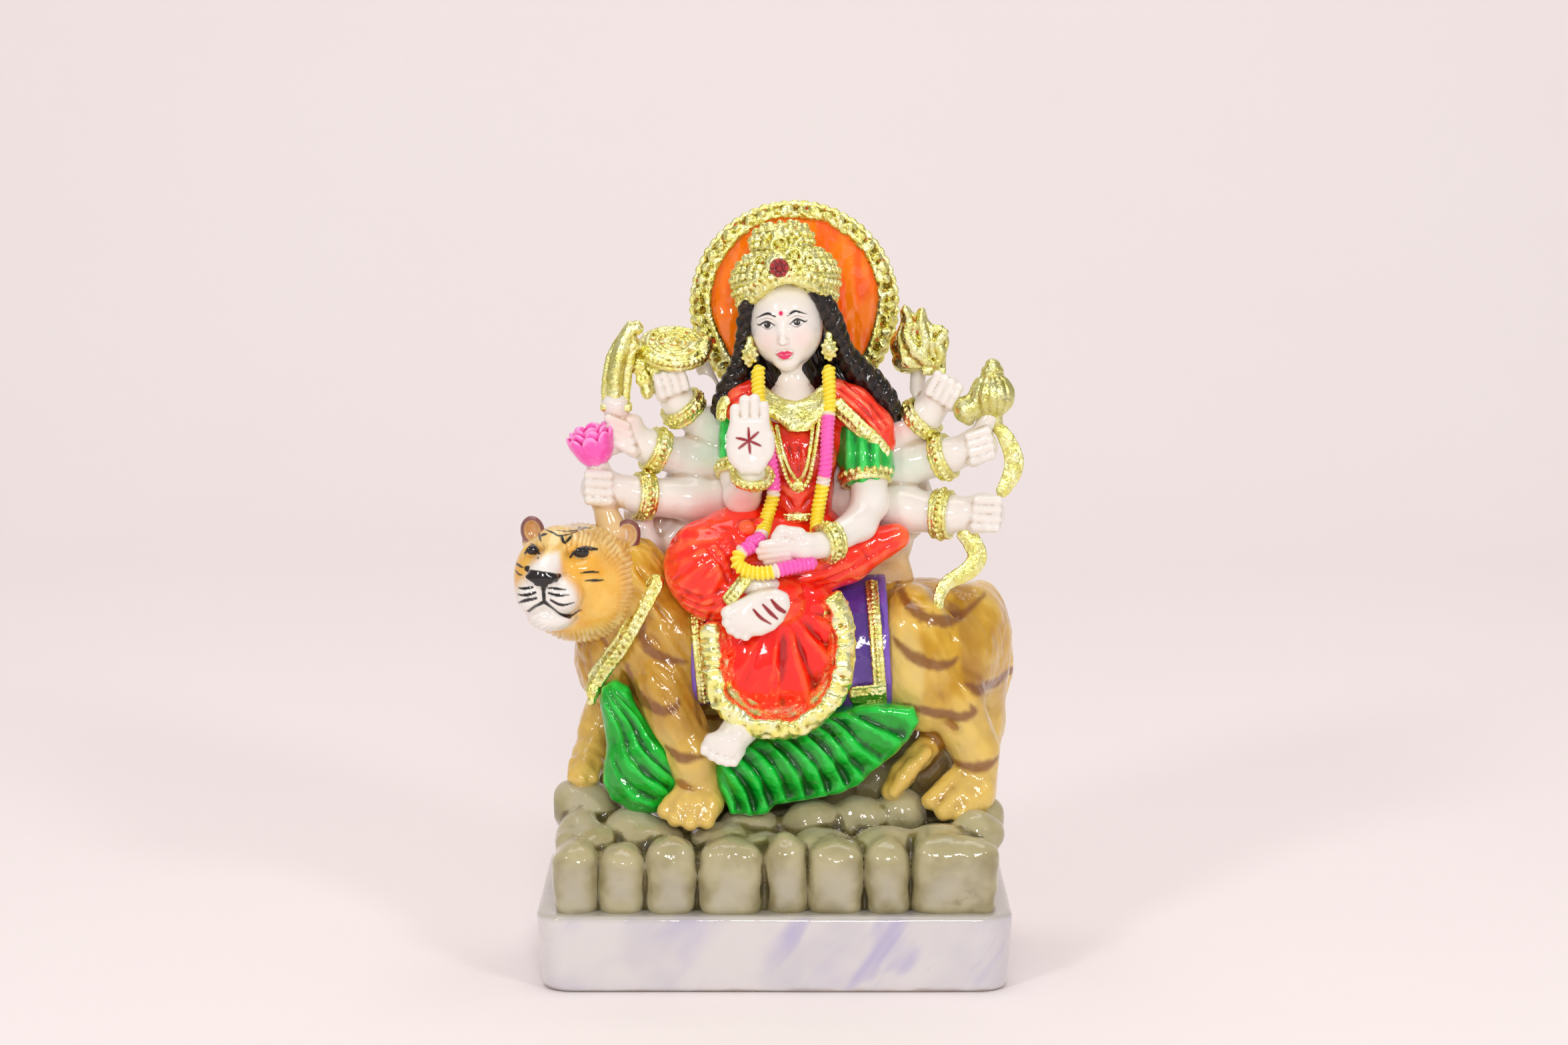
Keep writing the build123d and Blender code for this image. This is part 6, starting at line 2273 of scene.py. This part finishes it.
def sword():
    blade = [
        (-33.4, 110.8), (-33.2, 116.0), (-32.2, 120.6), (-30.4, 124.4), (-28.2, 127.4), (-26.8, 126.2),
        (-26.6, 123.0), (-27.6, 117.6), (-28.2, 110.8),
    ]

    def build(c):
        c.add(plate(blade, -4.4, -2.2, 0.8, centre=at(0, 0, 0)))
        c.tube(
            [
                (*at(-31.0, -4.3, 111.2), 0.9), (*at(-30.9, -4.5, 116.4), 0.9),
                (*at(-29.9, -4.4, 121.4), 0.8), (*at(-27.8, -3.8, 126.4), 0.6),
            ],
            0.9,
        )
        c.tube(
            [
                (*at(-33.2, -3.6, 111.2), 0.5), (*at(-33.0, -3.7, 116.4), 0.5),
                (*at(-31.8, -3.6, 121.4), 0.45), (*at(-28.4, -3.4, 126.8), 0.4),
            ],
            0.25,
        )
        c.add(block(at(-30.8, -3.5, 110.6), (3.1, 1.9, 0.75), 0.5), 0.25)
        c.add(egg(at(-26.8, -3.2, 126.0), (1.3, 1.2, 1.5)), 0.4)
        for x, z, r in ((-26.2, 118.6, 1.7), (-25.4, 115.8, 1.6), (-26.6, 122.4, 1.3), (-24.8, 113.4, 1.3)):
            c.add(egg(at(x, -2.2, z), (r, 1.5, r * 1.2)), 0.7)

    def finish(skin):
        rough = smoothstep(-28.5, -27.0, skin.p[:, 0])
        skin.push((0.06 + 0.20 * rough) * (noise(skin.p, 1.0, 141) + 0.6 * noise(skin.p, 0.5, 142)))

    gold_piece(
        "sword_piece", "sword", 0.17, build, finish, (8, 0.1), "sword_gold", 0.12, warm=0.0, margin=3.5
    )


def chakra():
    middle = at(-19.6, -0.2, 121.8)
    turn = axes((0.08, -0.52, 1))
    up = turn[2]

    def build(c):
        c.add(
            lathe([(0, -1.4), (5.8, -1.4), (6.5, -0.4), (6.5, 0.6), (5.4, 1.0), (0, 1.1)], middle, turn, 0.2)
        )
        c.add(ring(middle - up * 0.6, up, 6.4, 0.6), 0.15)
        for radius, size in ((5.3, 0.42), (3.4, 0.44), (1.8, 0.42)):
            c.add(ring(middle + up * 1.1, up, radius, size), 0.2)
        c.add(egg(middle + up * 1.3, (0.8, 0.8, 0.6), turn), 0.2)
        for i in range(38):
            a = 2 * math.pi * i / 38
            out = turn[0] * math.cos(a) + turn[1] * math.sin(a)
            c.add(egg(middle + out * 6.5 + up * 0.35, (0.56,) * 3), 0.12)
            if i % 2:
                c.add(limb(middle + out * 3.5 + up * 1.05, middle + out * 4.7 + up * 1.05, 0.26), 0.12)
        for x, z, r in (
            (-24.4, 117.0, 2.5), (-23.6, 114.9, 1.7), (-22.0, 117.8, 2.0), (-15.0, 121.0, 2.0),
            (-13.6, 122.6, 1.5),
        ):
            c.add(egg(at(x, -1.0, z), (r, 1.6, r * 1.1)), 0.7)

    gold_piece(
        "chakra_piece", "chakra", 0.17, build, crumpled(0.10, 0.8), (8, 0.1), "disc_gold", 0.16, warm=0.3,
        margin=3.0,
    )


def lotus():
    foot = at(-34.3, -6.8, 100.4)
    turn = axes((-0.30, -0.15, 1))

    def build(c):
        c.add(egg(foot + turn[2] * 3.0, (3.6, 3.4, 3.4), turn))
        for layer, (count, lift, out, tall) in enumerate(
            ((8, 2.9, 3.3, 3.5), (7, 3.9, 2.5, 3.3), (5, 4.6, 1.3, 2.9))
        ):
            for i in range(count):
                a = 2 * math.pi * (i + 0.5 * layer) / count
                way = turn[0] * math.cos(a) + turn[1] * math.sin(a)
                lean = turn[2] + 0.35 * way
                petal = np.stack([unit(np.cross(lean, way)), unit(way - 0.35 * turn[2]), unit(lean)])
                c.add(egg(foot + way * out + turn[2] * lift, (1.85, 0.8, tall), petal), 0.1)
        c.add(egg(foot, (1.7, 1.7, 1.4), turn), 0.6)

    paint = lacquered(
        "lotus_pink", srgb(252, 92, 190), srgb(212, 30, 132), srgb(255, 150, 216), crevice=(0.5, 0.9),
        wave=0.08,
    )
    sculpt(
        "lotus_piece", ["lotus"], 0.16, build, paint, crumpled(0.05, 1.0, 151), (8, 0.1),
        margin=3.0,
    )


def mace():
    middle = at(42.2, -4, 113.0)

    def build(c):
        c.add(egg(middle, (4.35, 4.2, 4.3)))
        c.add(egg(at(42.3, -4, 117.8), (2.2, 2.0, 1.3)), 0.3)
        c.add(egg(at(42.3, -4, 118.9), (1.5, 1.5, 1.2)), 0.2)
        c.add(ring(at(42.2, -4, 117.0), (0, 0, 1), 1.9, 0.4), 0.15)
        c.chain([at(41.0, -4.2, 112.0), at(37.4, -4.4, 110.2)], [2.7, 2.7], 0.5, 0.3)
        c.add(egg(at(37.0, -4.4, 109.8), (1.6, 2.6, 3.0), axes((-0.45, 0, 1))), 0.3)
        c.add(limb(at(42.6, -4.2, 109.6), at(43.4, -4.2, 106.4), 1.7, 1.1), 0.4)

    def finish(skin):
        q = skin.p - middle
        around = np.arctan2(q[:, 0], -q[:, 1])
        ball = smoothstep(4.9, 4.5, np.linalg.norm(q, axis=1)) * smoothstep(4.2, 3.0, np.abs(q[:, 2]))
        skin.push(0.30 * (np.abs(np.cos(around * 6.5)) - 0.5) * ball)
        skin.push(0.08 * noise(skin.p, 0.9, 161) + 0.05 * noise(skin.p, 0.45, 162))

    gold_piece(
        "mace_piece", "mace", 0.17, build, finish, (8, 0.12), "mace_gold", 0.12, warm=0.1, bright=0.92,
        margin=2.5,
    )


def trident():
    flame = [
        (30.0, 117.4), (25.8, 118.0), (24.0, 121.0), (23.8, 124.6), (24.6, 127.2), (24.4, 129.2),
        (25.2, 130.4), (26.4, 129.6), (27.4, 128.4), (28.2, 129.8), (29.2, 129.6), (29.8, 127.6),
        (30.8, 126.4), (32.4, 126.4), (33.6, 125.4), (34.1, 122.8), (33.3, 120.4), (33.4, 118.2),
    ]
    ridges = [
        [(25.3, 129.6, 0.6), (26.2, 127.0, 0.8), (25.8, 124.6, 1.1), (27.2, 121.6, 1.2), (29.4, 119.2, 0.9)],
        [(28.7, 129.2, 0.6), (28.4, 126.6, 0.9), (29.3, 123.6, 1.1), (29.0, 121.0, 1.0), (30.2, 118.8, 0.8)],
        [(33.2, 125.0, 0.7), (31.8, 123.0, 1.0), (32.4, 120.6, 1.0), (31.4, 118.6, 0.8)],
        [(27.4, 126.6, 0.5), (27.0, 124.4, 0.6), (28.0, 122.6, 0.5)],
        [(30.4, 124.6, 0.5), (30.6, 122.4, 0.6), (31.0, 120.4, 0.5)],
    ]

    def build(c):
        c.add(plate(flame, -1.6, 0.6, 0.7, centre=at(0, 0, 0)))
        for ridge in ridges:
            c.tube([(*at(x, -1.6, z), r) for x, z, r in ridge], 0.25)
        c.add(block(at(31.0, -0.7, 117.4), (2.4, 1.5, 0.8), 0.5), 0.4)
        c.add(egg(at(26.0, 1.6, 119.0), (3.0, 3.0, 2.4)), 0.8)
        c.add(egg(at(24.8, 3.6, 122.0), (2.2, 3.0, 3.0)), 0.8)

    gold_piece(
        "trident_piece", "trident", 0.17, build, crumpled(0.12, 0.9), (10, 0.14), "trident_gold", 0.12,
        warm=0.45, bright=0.95, margin=3.0,
    )


def bow():
    limbs = [
        [
            at(43.2, -4.6, 106.6), at(44.6, -5.0, 105.4), at(46.4, -5.2, 101.4), at(46.2, -5.4, 97.8),
            at(44.0, -5.8, 93.8),
        ],
        [
            at(36.8, -6.0, 86.6), at(38.4, -6.4, 84.6), at(39.5, -6.6, 81.4), at(37.4, -7.0, 78.6),
            at(33.8, -7.6, 76.8), at(32.2, -8.4, 74.4), at(31.8, -8.8, 71.8),
        ],
    ]
    widths = [(0.9, 1.3, 1.75, 1.7, 1.0), (1.7, 1.8, 1.8, 1.7, 1.3, 1.0, 0.8)]

    def build(c):
        for points, width in zip(limbs, widths):
            line, ahead = evenly(spline(np.column_stack([points, width]), 10), 0.5)
            edges = [[], []]
            for p, direction in zip(line, ahead):
                side = unit(np.cross(direction, (0, -1, 0)))
                turn = np.stack([side, unit(np.cross(side, direction)), unit(direction)])
                c.add(egg(p[:3], (p[3], 0.85, 0.9), turn), 0.3)
                for edge, s in zip(edges, (-1, 1)):
                    edge.append(p[:3] + side * s * p[3] * 0.85 + vec(0, -0.25, 0))
            for edge in edges:
                c.chain(edge, [0.34] * len(edge), 0.12)

    gold_piece(
        "bow_piece", "bow", 0.15, build, crumpled(0.08, 0.7), (8, 0.08), "bow_gold", 0.12, warm=0.05,
        margin=3.0,
    )


# Stage


def stage():
    """Pale cloth sweep, four soft lights and the camera."""
    cloth = stage_cloth()
    wide, front, back, up, bend = 1.6, -1.2, 0.85, 1.3, 0.35
    profile = [(front, 0.0), (back - bend, 0.0)]
    turn = np.linspace(0.1, math.pi / 2, 12)
    profile += [(back - bend + bend * math.sin(a), bend - bend * math.cos(a)) for a in turn]
    profile.append((back, up))
    points = [(x, y, z) for x in (-wide, wide) for y, z in profile]
    count = len(profile)
    faces = [(i, count + i, count + i + 1, i + 1) for i in range(count - 1)]
    mesh = bpy.data.meshes.new("backdrop")
    mesh.from_pydata(points, [], faces)
    mesh.shade_smooth()
    mesh.materials.append(cloth)
    sweep = bpy.data.objects.new("backdrop", mesh)
    bpy.context.scene.collection.objects.link(sweep)

    def softbox(name, place, target, size, power, colour):
        light = bpy.data.lights.new(name, "AREA")
        light.shape, light.size, light.size_y = "RECTANGLE", *size
        light.energy, light.color = power, colour
        lamp = bpy.data.objects.new(name, light)
        lamp.location = place
        direction = Vector(target) - Vector(place)
        lamp.rotation_euler = direction.to_track_quat("-Z", "Y").to_euler()
        bpy.context.scene.collection.objects.link(lamp)

    middle = (0, 0, 0.08)
    softbox("key_left", (-0.62, -0.88, 0.68), middle, (0.18, 0.18), 2.6, (1.0, 0.985, 0.97))
    softbox("key_right", (0.68, -0.84, 0.64), middle, (0.18, 0.18), 2.4, (1.0, 0.985, 0.98))
    softbox("front", (0.06, -1.15, 0.5), middle, (0.2, 0.2), 3.1, (1.0, 0.985, 0.975))
    softbox("top", (0.0, 0.1, 1.3), middle, (0.9, 0.7), 4.6, (1.0, 0.97, 0.97))
    world = bpy.data.worlds.new("studio")
    world.use_nodes = True
    world.node_tree.nodes["Background"].inputs["Color"].default_value = (1.0, 0.955, 0.955, 1)
    world.node_tree.nodes["Background"].inputs["Strength"].default_value = 0.44
    bpy.context.scene.world = world
    bpy.context.scene.view_settings.view_transform = "Standard"

    camera = bpy.data.cameras.new("camera")
    camera.sensor_width, camera.lens, camera.shift_x = 36, 86.14, 0.006
    camera.clip_start, camera.clip_end = 0.05, 10
    view = bpy.data.objects.new("camera", camera)
    view.location = (0, -0.729, 0.195)
    view.rotation_euler = (math.radians(90 - 8.4), 0, 0)
    bpy.context.scene.collection.objects.link(view)
    bpy.context.scene.camera = view


stage()
for piece in (
    slab, rocks, tiger_coat, tiger_head, tiger_ears, tiger_collar, saddle_cloth, saddle_trim, green_sheaf,
    green_leaf,
    blouse, skirt, skirt_pleats, skirt_hem, folded_foot, lower_foot, anklets, head_and_neck, hair, crown,
    crown_gem,
    halo_disc, halo_rim, earrings, rear_arms, blessing_arm, resting_arm, sleeves, armlets, bangles, shawl,
    shawl_trim,
    neck_collar, necklace, belt_buckle, garland, sword, chakra, lotus, mace, trident, bow,
):
    piece()
